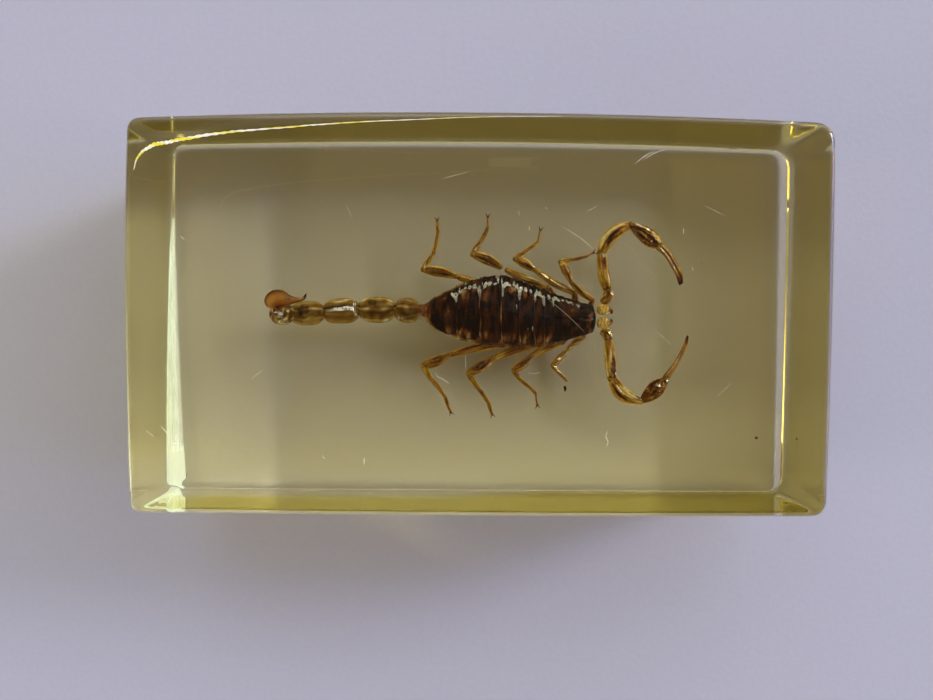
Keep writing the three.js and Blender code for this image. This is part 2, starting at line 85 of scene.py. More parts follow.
# %% [markdown]
# ## Shader maths
#
# A finish is easier to read as sums than as a net of wires. This small class wraps one socket of a node,
# so that `1 - mask * 0.5` adds the Math nodes it needs. Colours go through Mix and Vector Math, because a
# Math node turns a colour grey.

# %% A socket that can be added, multiplied and compared
class Value:
    def __init__(self, tree, socket):
        self.tree, self.socket = tree, socket

    def _math(self, operation, *inputs):
        return Finish.of(self.tree).node("Math", {"operation": operation}, dict(enumerate(inputs)))

    def __add__(self, other):
        return self._math("ADD", self, other)

    def __sub__(self, other):
        return self._math("SUBTRACT", self, other)

    def __rsub__(self, other):
        return self._math("SUBTRACT", other, self)

    def __mul__(self, other):
        return self._math("MULTIPLY", self, other)

    __radd__, __rmul__ = __add__, __mul__

    def larger(self, other):
        return self._math("MAXIMUM", self, other)

    def smaller(self, other):
        return self._math("MINIMUM", self, other)

    def ramp(self, low, high):
        """0 below low, 1 above high, smooth between them. With low over high it falls instead."""
        settings = {"interpolation_type": "SMOOTHSTEP"}
        values = {"Value": self, "From Min": low, "From Max": high, "To Min": 0.0, "To Max": 1.0}
        return Finish.of(self.tree).node("MapRange", settings, values)


print("sockets can be added")

# %% [markdown]
# ## Finishes under construction
#
# Every other node comes from one method that takes the node's type, its settings and its sockets, because
# a setting such as a Mix node's data type decides which sockets it has. The methods under it are the few
# nodes that this block and scorpion use again and again: cloudy noise, a mix of two colours, small
# relief, and the loss inside clear resin.

# %% A material that adds nodes to its tree and ends in one shader
class Finish:
    def __init__(self, name):
        self.material = bpy.data.materials.new(name)
        self.material.use_nodes = True
        self.tree = self.material.node_tree
        self.tree.nodes.clear()
        self.output = self.tree.nodes.new("ShaderNodeOutputMaterial")

    @classmethod
    def of(cls, tree):
        """The same methods for a tree that exists, such as the sky's."""
        finish = cls.__new__(cls)
        finish.tree = tree
        return finish

    def connect(self, socket, value):
        if isinstance(value, Value):
            self.tree.links.new(value.socket, socket)
        else:
            socket.default_value = value

    def node(self, kind, settings=None, values=None, output=0):
        made = self.tree.nodes.new("ShaderNode" + kind)
        for name, setting in (settings or {}).items():
            setattr(made, name, setting)
        for name, value in (values or {}).items():
            self.connect(made.inputs[name], value)
        return Value(self.tree, made.outputs[output])

    def place(self):
        """Where a point is on the object, in millimetres."""
        here = self.node("TexCoord", output="Object")
        return self.node("VectorMath", {"operation": "SCALE"}, {0: here, "Scale": 1 / MM})

    def painted(self, name):
        """A value that the mesh carries at its corners."""
        return self.node("Attribute", {"attribute_name": name}, output=2)

    def noise(self, place, scale, detail=3.0, roughness=0.5, stretch=(1, 1, 1)):
        """Cloudy noise from 0 to 1, with about `scale` clouds to the millimetre where stretch is 1."""
        stretched = self.node("VectorMath", {"operation": "MULTIPLY"}, {0: place, 1: stretch})
        values = {"Vector": stretched, "Scale": scale, "Detail": detail, "Roughness": roughness}
        return self.node("TexNoise", {}, values)

    def mix(self, share, first, second):
        first, second = (c if isinstance(c, Value) else (*c, 1.0) for c in (first, second))
        return self.node("Mix", {"data_type": "RGBA"}, {0: share, 6: first, 7: second}, output=2)

    def bump(self, height, strength, distance):
        """Small relief: height times distance, in millimetres."""
        return self.node("Bump", {}, {"Height": height, "Strength": strength, "Distance": distance * MM})

    def principled(self, **values):
        named = {name.replace("_", " "): value for name, value in values.items()}
        if not isinstance(named["Base Color"], Value):
            named["Base Color"] = (*named["Base Color"], 1.0)
        shader = self.node("BsdfPrincipled", {}, named)
        self.tree.links.new(shader.socket, self.output.inputs["Surface"])

    def absorbs(self, loss):
        """Colour swallowed inside a clear solid: the share of red, green and blue lost per millimetre."""
        density = 1.2 * max(loss) / MM
        colour = [1 - share / MM / density for share in loss]
        volume = self.node("VolumeAbsorption", {}, {"Color": (*colour, 1.0), "Density": density})
        self.tree.links.new(volume.socket, self.output.inputs["Volume"])


print("finishes ready")

# %% [markdown]
# ## The table
#
# A pale sheet lies under the block, with a hair of air between them, as in life: without that air the
# block would look wet. Its fibres are a little uneven in tone and height, so it takes the block's soft
# shadow like paper.

# %% The sheet under the block
FLOOR_GAP = 0.05  # between the block's base and the sheet
FLOOR_SIZE = 3000
PAPER = Finish("paper")
fibre = PAPER.noise(PAPER.place(), 1.6, detail=6, roughness=0.6)
PAPER.principled(
    Base_Color=PAPER.mix(fibre, (0.60, 0.59, 0.60), (0.66, 0.65, 0.66)),
    Roughness=0.9,
    Normal=PAPER.bump(fibre, 0.4, 0.05),
)
half = FLOOR_SIZE / 2
corners = [(x, y, -FLOOR_GAP) for x, y in ((-half, -half), (half, -half), (half, half), (-half, half))]
floor_mesh = bpy.data.meshes.new("floor")
floor_mesh.from_pydata([Vector(corner) * MM for corner in corners], [], [(0, 1, 2, 3)])
floor_mesh.materials.append(PAPER.material)
floor = bpy.data.objects.new("floor", floor_mesh)
bpy.context.scene.collection.objects.link(floor)
print("sheet:", FLOOR_SIZE, "mm square")

# %% [markdown]
# ## The light
#
# Everything inside the block is lit through its top face, and only light from a broad source gets there
# evenly. So the light is a wide soft sky, brighter towards the back, and a small strong lamp on the right
# draws the highlights on the shell. A low blue one shines through the left bevel as a bright strip. The
# patch straight overhead is dim, because the top face would mirror it into the camera.

# %% Sky and lamps
world = bpy.data.worlds.new("sky")
world.use_nodes = True
bpy.context.scene.world = world
sky = Finish.of(world.node_tree)
looking = sky.node("TexCoord", output="Generated")


def lamp(azimuth, elevation, inner, outer):
    """A round soft lamp in the sky: full within inner degrees of its middle, gone beyond outer."""
    turn, lift = math.radians(azimuth), math.radians(elevation)
    middle = (math.cos(turn) * math.cos(lift), math.sin(turn) * math.cos(lift), math.sin(lift))
    closeness = sky.node("VectorMath", {"operation": "DOT_PRODUCT"}, {0: looking, 1: middle}, output=1)
    return closeness.ramp(math.cos(math.radians(outer)), math.cos(math.radians(inner)))


key = lamp(24, 22, 3, 10)
window = lamp(70, 28, 10, 75)
overhead = lamp(0, 90, 12, 55)
low_key = lamp(0, 10, 6, 30)
rim_light = lamp(192, 13, 0, 16)
horizon = sky.node("SeparateXYZ", {}, {0: looking}, output=2).ramp(0.4, 0.05)
cool = window.larger(key).larger(horizon)
sky_colour = sky.mix(cool, (1.0, 0.85, 0.66), (0.92, 0.96, 1.12))
sky_colour = sky.mix(low_key, sky_colour, (0.86, 1.10, 3.30))
strength = (0.45 + 1.22 * window) * (1.0 - 0.9 * overhead)
for share, light in ((22.0, key), (0.8, low_key), (0.38, horizon), (5.0, rim_light)):
    strength = strength + share * light
background = world.node_tree.nodes["Background"]
sky.connect(background.inputs["Color"], sky_colour)
sky.connect(background.inputs["Strength"], strength)
print("sky nodes:", len(world.node_tree.nodes))

# %% [markdown]
# ## How light is traced
#
# A ray that enters the block crosses many clear surfaces before it comes out, so it is allowed many
# bounces. Light bent by the resin onto the sheet is kept too, since the pale glow round a clear block is
# part of how it looks.

# %% Bounces and colours
scene = bpy.context.scene
scene.view_settings.view_transform = "Standard"
scene.view_settings.look = "None"
for name, value in {
    "use_denoising": True,
    "max_bounces": 24,
    "transmission_bounces": 20,
    "glossy_bounces": 12,
    "diffuse_bounces": 4,
    "transparent_max_bounces": 16,
    "caustics_refractive": True,
    "caustics_reflective": True,
    "blur_glossy": 0.0,
    "sample_clamp_indirect": 12.0,
}.items():
    setattr(scene.cycles, name, value)
print("bounces:", scene.cycles.max_bounces)

# %% [markdown]
# ## Meshes from rings
#
# Most pieces here are skins over a row of rings: a leg's length is a row of small ovals, and the block is
# a row of rounded oblongs. One function closes such a row into a solid skin.

# %% A closed skin over rings
def skin(rings):
    """Corners and faces of a closed skin over rings of equally many points, each end drawn to its middle."""
    rings = np.asarray(rings, float)
    count = rings.shape[1]
    corners = np.vstack([rings.reshape(-1, 3), rings[0].mean(0), rings[-1].mean(0)])
    first_end, last_end = len(corners) - 2, len(corners) - 1
    faces = []
    for i in range(count):
        j = (i + 1) % count
        for r in range(len(rings) - 1):
            a, b = r * count, (r + 1) * count
            faces.append((a + i, a + j, b + j, b + i))
        last = (len(rings) - 1) * count
        faces += [(first_end, j, i), (last_end, last + i, last + j)]
    return corners, faces


def new_object(name, corners, faces, material):
    """An object from corners in millimetres, its faces turned outwards."""
    mesh = bpy.data.meshes.new(name)
    mesh.from_pydata((np.asarray(corners) * MM).tolist(), [], faces)
    mesh.validate()
    made = bpy.data.objects.new(name, mesh)
    bpy.context.scene.collection.objects.link(made)
    mesh.materials.append(material)
    work = bmesh.new()
    work.from_mesh(mesh)
    bmesh.ops.recalc_face_normals(work, faces=work.faces)
    work.to_mesh(mesh)
    work.free()
    mesh.polygons.foreach_set("use_smooth", [True] * len(mesh.polygons))
    return made


print("skins ready")

# %% [markdown]
# ## The block's outline
#
# The casting was cut square, then rounded and polished by hand, so its sides bow out a little and each
# corner has its own radius. The outline is one ring of points, counter-clockwise from the front right
# corner: a curve at each corner and a shallow one along each side.

# %% The block's outline
low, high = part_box("resin_lower")
LENGTH, WIDTH = (high.x - low.x) / MM, (high.y - low.y) / MM
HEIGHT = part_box("resin_upper")[1].z / MM
# Each corner's inset and radius, and the side that follows it: the way it faces and how far it bows out.
BLOCK_CORNERS = {
    (1, -1): ((0.65, 0.35), 1.8, (1, 0), 0.13),
    (1, 1): ((0.38, 1.12), 2.4, (0, 1), 0.745),
    (-1, 1): ((0.28, 0.57), 1.6, (-1, 0), 0.33),
    (-1, -1): ((0.38, 0.10), 1.4, (0, -1), 0.15),
}
POINTS_PER_CORNER = 14
POINTS_PER_SIDE = 28


def bezier(start, middle, end, count):
    share = np.linspace(0, 1, count)[:, None]
    return (1 - share) ** 2 * start + 2 * share * (1 - share) * middle + share**2 * end


def block_outline():
    half_size = np.array([LENGTH, WIDTH]) / 2
    places = [np.array(signs) * (half_size - corner[0]) for signs, corner in BLOCK_CORNERS.items()]
    sides = list(BLOCK_CORNERS.values())
    outline = []
    for i, (_, radius, out, bulge) in enumerate(sides):
        before, here, after = places[i - 1], places[i], places[(i + 1) % 4]
        into, onward = unit(here - before), unit(after - here)
        start, end = here - into * radius, here + onward * radius
        side_end = after - onward * sides[(i + 1) % 4][1]
        crown = (end + side_end) / 2 + 2 * bulge * np.array(out)
        outline.append(bezier(start, here, end, POINTS_PER_CORNER))
        outline.append(bezier(end, crown, side_end, POINTS_PER_SIDE)[1:-1])
    return np.vstack(outline)


def unit(vectors):
    return vectors / np.linalg.norm(vectors, axis=-1, keepdims=True)


def drawn_in(outline, inset):
    along = unit(np.roll(outline, -1, axis=0) - np.roll(outline, 1, axis=0))
    return outline + inset * np.stack([-along[:, 1], along[:, 0]], axis=1)


def facing(direction):
    """How squarely each point of the outline faces a direction: 1 straight at it, and soon 0 beside it."""
    return np.clip(outward @ np.array(direction), 0, 1) ** 4


OUTLINE = np.clip(block_outline(), (-LENGTH / 2, -WIDTH / 2), (LENGTH / 2, WIDTH / 2))
outward = drawn_in(OUTLINE, -1) - OUTLINE
facing_left, facing_right = facing((-1, 0)), facing((1, 0))
facing_front, facing_back = facing((0, -1)), facing((0, 1))
print("outline:", len(OUTLINE), "points")

# %% [markdown]
# ## The worn base
#
# Round the base the edges are steep bevels with soft ends, as wide as each side was worn, and the left
# one widens towards the front. That one is steeper than the rest: at 55 degrees it turns a look from
# above right out through the block's wall, to the low light beside it, and so it shines as a clean bright
# strip. A narrow bevel only draws a line.

# %% Bevels and the base's own rise
frontness = 0.5 - OUTLINE[:, 1] / WIDTH
bevel = 0.05 + facing_left * (0.10 + 0.95 * np.clip((frontness - 0.15) / 0.85, 0, 1))
bevel = bevel + 0.45 * facing_right + 0.16 * facing_back
bevel_steepness = 0.7 + 0.745 * facing_left  # rise for each millimetre of inset
# From the base to the wall: how much of the bevel's inset is left, and how much of its rise is done.
BEVEL_PROFILE = [(1.04, 0), (1.0, 0.006), (0.96, 0.04), (0.5, 0.5), (0.04, 0.96), (0.006, 0.994), (0, 1.03)]
BASE_SLOPE = 0.10  # how steeply the base rises at a worn side


def base_height(ring):
    """The base is not quite flat: near its back and right sides it rises by up to 0.2 mm."""
    reach = {"right": 3.2 + 1.3 * ring[:, 1] / (WIDTH / 2), "back": 3.5}
    gaps = {"right": LENGTH / 2 - ring[:, 0], "back": WIDTH / 2 - ring[:, 1]}
    rises = [BASE_SLOPE / 2 * reach[side] * np.clip(1 - gaps[side] / reach[side], 0, 1) ** 2 for side in gaps]
    return np.sqrt(sum(rise**2 for rise in rises))


print("bevels:", round(bevel.min(), 2), "to", round(bevel.max(), 2), "mm")

# %% [markdown]
# ## The block
#
# The block is the outline at a row of heights, drawn in where the edges are rounded. It could be a
# beveled box, but rings let each edge keep its own wear. The flat faces carry extra rings near their
# rims, because the base rises there, and the top's back left corner is worn lower behind a crease that
# runs into the back edge.

# %% The block's rings
EDGE_ROUNDING = 0.8
BASE_INSETS = (6.0, 5.0, 4.5, 4.0, 3.5, 3.0, 2.7, 2.4, 2.1, 1.8, 1.5, 1.3)
WALL_HEIGHTS = (3, 6, 9.5, 13, 16.5)
TOP_SHARES = [0.995, 0.99, 0.985, 0.975, 0.965, 0.955, 0.94, 0.925, 0.91, 0.895, 0.87]
TOP_SHARES += [0.8, 0.7, 0.6, 0.5, 0.4, 0.3, 0.2, 0.1]
CREASE = np.array([
    (-35.4, 15.2), (-33.5, 17.1), (-30.4, 17.8), (-23.3, 18.95), (-8.0, 19.75), (0.2, 20.0), (9, 20.1),
])
CREASE_DROP = 0.20
CREASE_SLOPE = 1.2  # over how many millimetres the top falls by that much


def level(ring, height):
    """A ring of the outline at one height, or with its own height for every point."""
    return np.column_stack([ring, height + np.zeros(len(ring))])


block_rings = []
for inset in BASE_INSETS:
    ring = OUTLINE * (1 - inset / np.array([LENGTH / 2, WIDTH / 2]))
    block_rings.append(level(ring, base_height(ring)))
for inset, rise in BEVEL_PROFILE:
    ring = drawn_in(OUTLINE, (inset * bevel)[:, None])
    block_rings.append(level(ring, base_height(ring) + rise * bevel * bevel_steepness))
block_rings += [level(OUTLINE, height) for height in WALL_HEIGHTS]
for angle in np.linspace(0, math.pi / 2, 8)[::-1]:
    inset, drop = EDGE_ROUNDING * (1 - math.sin(angle)), EDGE_ROUNDING * (1 - math.cos(angle))
    block_rings.append(level(drawn_in(OUTLINE, inset), HEIGHT - drop))
block_rings += [level(drawn_in(OUTLINE, EDGE_ROUNDING) * share, HEIGHT) for share in TOP_SHARES]
for ring in block_rings:
    beyond = ring[:, 1] - np.interp(ring[:, 0], CREASE[:, 0], CREASE[:, 1], right=99)
    on_top = np.clip((ring[:, 2] - HEIGHT + EDGE_ROUNDING) / EDGE_ROUNDING, 0, 1)
    ring[:, 2] -= CREASE_DROP * on_top * np.clip(beyond / CREASE_SLOPE, 0, 1)
print("rings:", len(block_rings))

# %% [markdown]
# ## Clear resin
#
# Cast resin is as clear as glass and bends light a little more. Old resin is pale yellow all through: it
# swallows blue first. That colour is worked out per millimetre of path, as in a real casting, so that a
# thick look through the block is deeper in colour than a thin one. A tint on the surface couldn't do
# that.

# %% The resin block
RESIN = Finish("resin")
RESIN.principled(Base_Color=(1.0, 1.0, 1.0), Roughness=0.0, IOR=1.55, Transmission_Weight=1.0)
RESIN.absorbs((0.0055, 0.0083, 0.0255))
resin_block = new_object("resin_block", *skin(block_rings), RESIN.material)
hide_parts("resin_lower", "resin_upper")
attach(resin_block, "root")
print("block:", len(resin_block.data.polygons), "faces")

# %% [markdown]
# ## The yellowed skin
#
# Resin yellows from its surface inwards, so the side walls have a thin layer of deeper yellow. It is a
# closed band just inside the walls. It bends no light itself, so its index is 1, and only its loss of
# blue shows. It starts above the bevels, and higher still near the front left corner, where the glowing
# film along the left edge would otherwise be seen through it.

# %% A band of deeper yellow inside the walls
BAND_DEPTH = 0.06  # from the wall to the band's outer face
BAND_TOP = 19.0
near_left = np.clip((-OUTLINE[:, 0] - 30) / 4, 0, 1) * np.clip((-OUTLINE[:, 1] - 14) / 5, 0, 1)
thickness = (0.17 + 0.12 * facing_front + 0.15 * facing_back) * (1 - 0.8 * near_left)
inner_depth = thickness[:, None] + BAND_DEPTH
foot = 1.7 + 4.3 * facing_front * np.clip((8 - OUTLINE[:, 0]) / 12, 0, 1)
band = [(BAND_DEPTH, foot), (BAND_DEPTH, BAND_TOP), (inner_depth, BAND_TOP - 0.1), (inner_depth, foot + 0.1)]
band_rings = [level(drawn_in(OUTLINE, inset), height) for inset, height in band]
count = len(OUTLINE)
faces = []
for r in range(4):
    this, following = r * count, (r + 1) % 4 * count
    for i in range(count):
        j = (i + 1) % count
        faces.append((this + i, this + j, following + j, following + i))
AGED = Finish("yellowed_resin")
AGED.principled(Base_Color=(1.0, 1.0, 1.0), Roughness=0.0, IOR=1.0, Transmission_Weight=1.0)
AGED.absorbs((0.055, 0.075, 0.30))
aged = new_object("yellowed_skin", np.vstack(band_rings), faces, AGED.material)
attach(aged, "root")
print("band:", round(thickness.min(), 2), "to", round(thickness.max(), 2), "mm thick")

# %% [markdown]
# ## Smooth curves and tubes
#
# A limb is a tube that swells and narrows, so it is drawn as rings along a smooth curve. A curve object
# with a bevel could do it too, but a row of samples is easier to bend, dent and paint ring by ring. The
# helpers for that are small: soft steps, soft bells, and streaks that never repeat.

# %% Smooth curves, soft steps and streaks
UP = np.array([0.0, 0.0, 1.0])


def curve(points, count):
    """A smooth curve through points, as `count` evenly spaced samples."""
    points = np.asarray(points, float)
    padded = np.vstack([2 * points[0] - points[1], points, 2 * points[-1] - points[-2]])
    at = np.linspace(0, len(points) - 1, count)
    i = np.minimum(at.astype(int), len(points) - 2)
    s = (at - i)[:, None]
    before, start, end, after = (padded[i + k] for k in range(4))
    return 0.5 * (
        2 * start
        + (end - before) * s
        + (2 * before - 5 * start + 4 * end - after) * s**2
        + (3 * start - before - 3 * end + after) * s**3
    )


def smooth(value, low, high):
    share = np.clip((value - low) / (high - low), 0, 1)
    return share * share * (3 - 2 * share)


def bell(value, middle, width):
    return np.exp(-(((value - middle) / width) ** 2))


def grain(seed, t, a, across=5, along=3, waves=7):
    """Irregular streaks from about -1 to 1 over a tube: t runs along it and a around it."""
    random = np.random.default_rng(seed)
    total = np.zeros(np.broadcast(t, a).shape)
    for _ in range(waves):
        turns = random.integers(1, across + 1)
        lengths = random.uniform(-1, 1) * along
        total = total + np.sin(a * turns + lengths * 2 * math.pi * t + random.uniform(0, 7))
    return total / math.sqrt(waves)


def tube(points, radii, height=1.0, sides=28, steps=44, relief=None, cap=0.1):
    """Rings round a curve, rounded at both ends, with their places along (0 to 1) and around (an angle)."""
    path, radius = curve(points, steps), curve([[r] for r in radii], steps)[:, :1]
    tangent = unit(np.gradient(path, axis=0))
    side = unit(np.cross(UP, tangent))
    top = np.cross(tangent, side)
    t = np.linspace(0, 1, steps)[:, None] * np.ones((1, sides))
    a = np.linspace(0, 2 * math.pi, sides, endpoint=False)[None, :] * np.ones((steps, 1))
    ends = np.clip(np.minimum(t, 1 - t) / cap, 0, 1)
    reach = np.maximum(radius, 0.01) * np.sqrt(np.clip(1 - (1 - ends) ** 2, 0.02, 1))
    if relief is not None:
        reach = reach * (1 + relief(t, a))
    rings = path[:, None] + side[:, None] * (reach * np.cos(a))[..., None]
    return rings + top[:, None] * (reach * height * np.sin(a))[..., None], t, a


print("curves and tubes ready")

# %% [markdown]
# ## Painted shapes
#
# Each ring corner also carries two painted values: tone, from dark brown to pale gold, and glint, where
# a film of air has crept between shell and resin and shines like silver. Real specimens show both, and
# they follow the form: rims, joints and ridges. Glint is also painted highlight: much of it is placed where
# the shell catches the light. A texture wrapped round the limb could hold them too, but it would have to
# be made first, and a value at each corner is simply worked out.

# %% Closed skins with a tone and a glint at every corner
class Shape:
    """Closed skins gathered into one piece."""

    def __init__(self):
        self.corners, self.faces, self.tone, self.glint, self.count = [], [], [], [], 0

    def add(self, rings, tone, glint=0.0):
        corners, faces = skin(rings)
        self.corners.append(corners)
        self.faces += [tuple(i + self.count for i in face) for face in faces]
        self.count += len(corners)
        for store, values in ((self.tone, tone), (self.glint, glint)):
            values = np.asarray(values) + np.zeros(rings.shape[:2])
            store.append(np.concatenate([values.ravel(), [values[0].mean(), values[-1].mean()]]))

    def place(self, name, material, slot, *nodes):
        made = new_object(name, np.vstack(self.corners), self.faces, material)
        for label, values in (("tone", self.tone), ("glint", self.glint)):
            layer = made.data.attributes.new(label, "FLOAT", "POINT")
            layer.data.foreach_set("value", np.concatenate(values).astype(np.float32))
        if nodes:
            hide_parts(*nodes)
        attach(made, "root")
        print(name, "faces:", len(made.data.polygons))


print("painted shapes ready")

# %% [markdown]
# ## The shell finishes
#
# Dried shell is brown, glassy and a little see-through: light gathers in it and comes out amber. All four
# finishes mix their colours over the painted tone, break it up with fine streaks, and let light spread
# under the surface. Where glint is high the surface turns into a bright thin mirror, as an air film does,
# and partly into a pale flat colour, which is a painted reflection.

# %% One recipe for every shell
def shell_finish(
    name, colours, film_and_sheen_colours, streaks, roughness, spread,
    relief=0.02, glow=0.45, index=1.25, torn=0.5, mottle=0.0, mirror=0.85,
):
    """A shell whose colour runs over `colours` as tone grows, with an air film where glint is high: part
    mirror, part painted reflection.
    """
    finish = Finish(name)
    place = finish.place()
    tone, glint = finish.painted("tone"), finish.painted("glint")
    fine = finish.noise(place, streaks[0], detail=5, roughness=0.65, stretch=streaks[1])
    coarse = finish.noise(place, 0.9, detail=3)
    spots = finish.noise(place, 3.6, detail=4, roughness=0.7)
    crackle = finish.noise(place, 7.0, detail=4, roughness=0.7)
    tone = tone + 0.34 * (fine - 0.5) + 0.22 * (coarse - 0.5) + mottle * (spots - 0.5)
    colour = colours[0]
    for (low, high), next_colour in zip(((0.0, 0.3), (0.3, 0.55), (0.55, 0.8), (0.8, 1.05)), colours[1:]):
        colour = finish.mix(tone.ramp(low, high), colour, next_colour)
    film = (glint + torn * (0.5 * fine + 0.5 * spots - 0.5)).ramp(0.38, 0.62)
    # The film's colour tints its mirror, and where it is not a mirror it is a painted reflection.
    film_and_sheen_colour = finish.mix(spots.ramp(0.38, 0.60), *film_and_sheen_colours)
    finish.principled(
        Base_Color=finish.mix(film, colour, film_and_sheen_colour),
        Metallic=mirror * film,
        Roughness=(roughness + 0.25 * (crackle - 0.4)) * (1.0 - film) + (0.12 + 0.25 * crackle) * film,
        IOR=index,
        Normal=finish.bump(fine + 0.6 * crackle, 0.8, relief),
        Subsurface_Weight=glow,
        Subsurface_Radius=spread,
        Subsurface_Scale=0.6 * MM,
    )
    print(name, "has", len(finish.tree.nodes), "nodes")
    return finish.material

# %% [markdown]
# ## The four shells
#
# The limbs are the clearest amber, the tail is duller and browner, the sting's bulb glows red, and the
# back is nearly black, with its film of air dull, torn and less of a mirror, so more of its silver is a
# painted grey sheen. Each list of colours runs from the darkest tone to the palest. A film has two
# colours, dull and bright, which tint its mirror and, where it is not a mirror, paint a reflection, and
# streaks are given by their number to the millimetre and how they are stretched.

# %% Limb, tail, stinger and back
LIMB_SHELL = shell_finish(
    "limb_shell",
    [(0.034, 0.009, 0.001), (0.17, 0.058, 0.003), (0.42, 0.215, 0.018),
     (0.76, 0.52, 0.09), (1.0, 0.88, 0.48)],
    film_and_sheen_colours=[(0.40, 0.336, 0.208), (1.0, 0.84, 0.52)],
    streaks=(1.6, (1.0, 1.0, 1.0)),
    roughness=0.12,
    spread=(1.0, 0.45, 0.12),
    torn=0.9,
    mottle=0.14,
)
TAIL_SHELL = shell_finish(
    "tail_shell",
    [(0.032, 0.013, 0.001), (0.12, 0.053, 0.004), (0.27, 0.142, 0.020),
     (0.50, 0.34, 0.078), (0.92, 0.82, 0.48)],
    film_and_sheen_colours=[(0.40, 0.388, 0.352), (1.0, 0.97, 0.88)],
    streaks=(1.3, (0.7, 1.6, 1.6)),
    roughness=0.24,
    spread=(1.0, 0.6, 0.2),
)
STINGER_SHELL = shell_finish(
    "stinger_shell",
    [(0.020, 0.006, 0.002), (0.15, 0.034, 0.004), (0.42, 0.150, 0.014),
     (0.60, 0.31, 0.040), (0.95, 0.76, 0.40)],
    film_and_sheen_colours=[(0.40, 0.38, 0.328), (1.0, 0.95, 0.82)],
    streaks=(0.8, (0.8, 1.0, 1.0)),
    roughness=0.15,
    spread=(1.0, 0.35, 0.05),
    relief=0.006,
    glow=0.5,
)
BACK_SHELL = shell_finish(
    "back_shell",
    [(0.017, 0.006, 0.001), (0.066, 0.020, 0.004), (0.21, 0.067, 0.013),
     (0.35, 0.21, 0.070), (0.47, 0.44, 0.34)],
    film_and_sheen_colours=[(0.296, 0.304, 0.288), (0.74, 0.76, 0.72)],
    streaks=(1.5, (1.4, 0.7, 1.0)),
    roughness=0.14,
    spread=(1.0, 0.35, 0.15),
    glow=0.15,
    index=1.18,
    torn=0.8,
    mottle=0.34,
    mirror=0.62,
)

# %% [markdown]
# ## One length of a limb
#
# Legs and arms are rows of thin-walled tubes. Seen from above each has pale rims, where its wall is
# looked at edge on, and a darker core of dried flesh between them, broken into streaks and blotches that
# no two lengths share. So every length gets its own seed, and, where it has a mark that stands out, a
# short list of marks. A mark is a place along, an angle around, a half length along, a half width in
# radians, and what it adds to tone and sets as glint.

# %% A painted length and its marks
def cover(t, a, at, around, length, width, seed):
    """A mark with an uneven edge: 1 near its place and angle, and 0 beyond its length and width."""
    turn = (a - around + math.pi) % (2 * math.pi) - math.pi
    away = np.hypot((t - at) / length, turn / width) + 0.16 * grain(seed, t, a, 9, 7, 9)
    return 1 - smooth(away, 0.65, 1.10)


def limb(
    shape, points, radii, tone, seed, marks=(),
    core=0.28, lit=1.1, net=0, sides=32, steps=48, height=0.8, cap=0.07,
):
    """One length of a limb: how dark its core is, at which angle its painted highlight lies, and how pale its
    net of cracks.
    """
    def relief(t, a):
        ridges = 0.030 * np.cos(2 * a + 0.6) + 0.022 * np.cos(5 * a + 3 * np.sin(2.2 * t + seed))
        ridges = (ridges + 0.030 * grain(seed, t, a, 5, 3)) * np.sin(math.pi * t) ** 0.6
        return ridges + 0.05 * bell(t, 0.95, 0.03)

    rings, t, a = tube(points, radii, height, sides, steps, relief, cap)
    body = np.sin(math.pi * t) ** 0.7
    rim = 1 - bell(np.sin(a), 1.0, 0.45)
    uneven = smooth(grain(seed + 80, t, a, 4, 2), -0.9, 0.5)
    middle = bell(np.cos(a), 0.1, 0.38) * (np.sin(a) > -0.2)
    ends = 1 - smooth(np.minimum(t, 1 - t), 0.0, 0.06)
    paint = tone + 0.20 * rim - core * body * uneven * middle
    paint = paint + 0.15 * grain(seed + 50, t, a, 9, 2, 9) - 0.34 * ends
    paint = paint + 0.36 * smooth(grain(seed + 150, t, a, 13, 1.2, 11), 1.0, 1.5) * body
    paint = paint - 0.28 * smooth(grain(seed + 170, t, a, 13, 1.5, 11), 1.0, 1.5) * body
    paint = paint + net * (1 - smooth(np.abs(grain(seed + 400, t, a, 9, 5, 9)), 0.0, 0.30)) * body
    # Painted highlight: a narrow band of pale air film at angle lit, the side that faces the lamp.
    shine = 0.62 * bell(a, lit, 0.10) * smooth(grain(seed + 160, t, a, 2, 4), 0.2, 0.9) * body
    for i, (at, around, length, width, tint, gloss) in enumerate(marks):
        covered = cover(t, a, at, around, length, width, seed + 300 + i)
        paint, shine = paint + tint * covered, np.maximum(shine * (1 - covered), gloss * covered)
    shape.add(rings, paint, shine)


def bowed(start, end, bow):
    """Three points from start to end, the middle one pushed sideways by a share of their distance."""
    across = unit(np.cross(UP, end - start))
    return [start, (start + end) / 2 + across * bow * np.linalg.norm(end - start), end]


print("a length of a limb can be drawn")

# %% [markdown]
# ## Knuckles, spines, claws and hairs
#
# Soft skin joins the lengths and bulges a little where they bend. A foot ends in two hooked claws with
# a shorter one between them, and fine pale hairs lean towards the tip of every length. A hair system
# would be quicker to grow, but it is left out of many exports, so each hair is a thin spike of mesh.

# %% The small parts of a limb
def knuckle(shape, joint, ahead, radius):
    """The soft skin at a joint: a short barrel that fills the gap between two lengths."""
    reach = unit(ahead) * radius * 1.1
    radii = [radius * 0.9, radius, radius * 0.9]
    rings, t, a = tube([joint - reach, joint, joint + reach], radii, 0.85, 20, 12, cap=0.3)
    shape.add(rings, 0.42 + 0.12 * grain(90, t, a, 5, 2))


def spike(shape, base, tip, radius, tone, sides=8, steps=8):
    base, tip = np.array(base, float), np.array(tip, float)
    radii = [radius, radius * 0.75, radius * 0.12]
    rings, t, a = tube([base, (base + tip) / 2, tip], radii, 1.0, sides, steps, cap=0.05)
    shape.add(rings, tone - 0.1 * t)


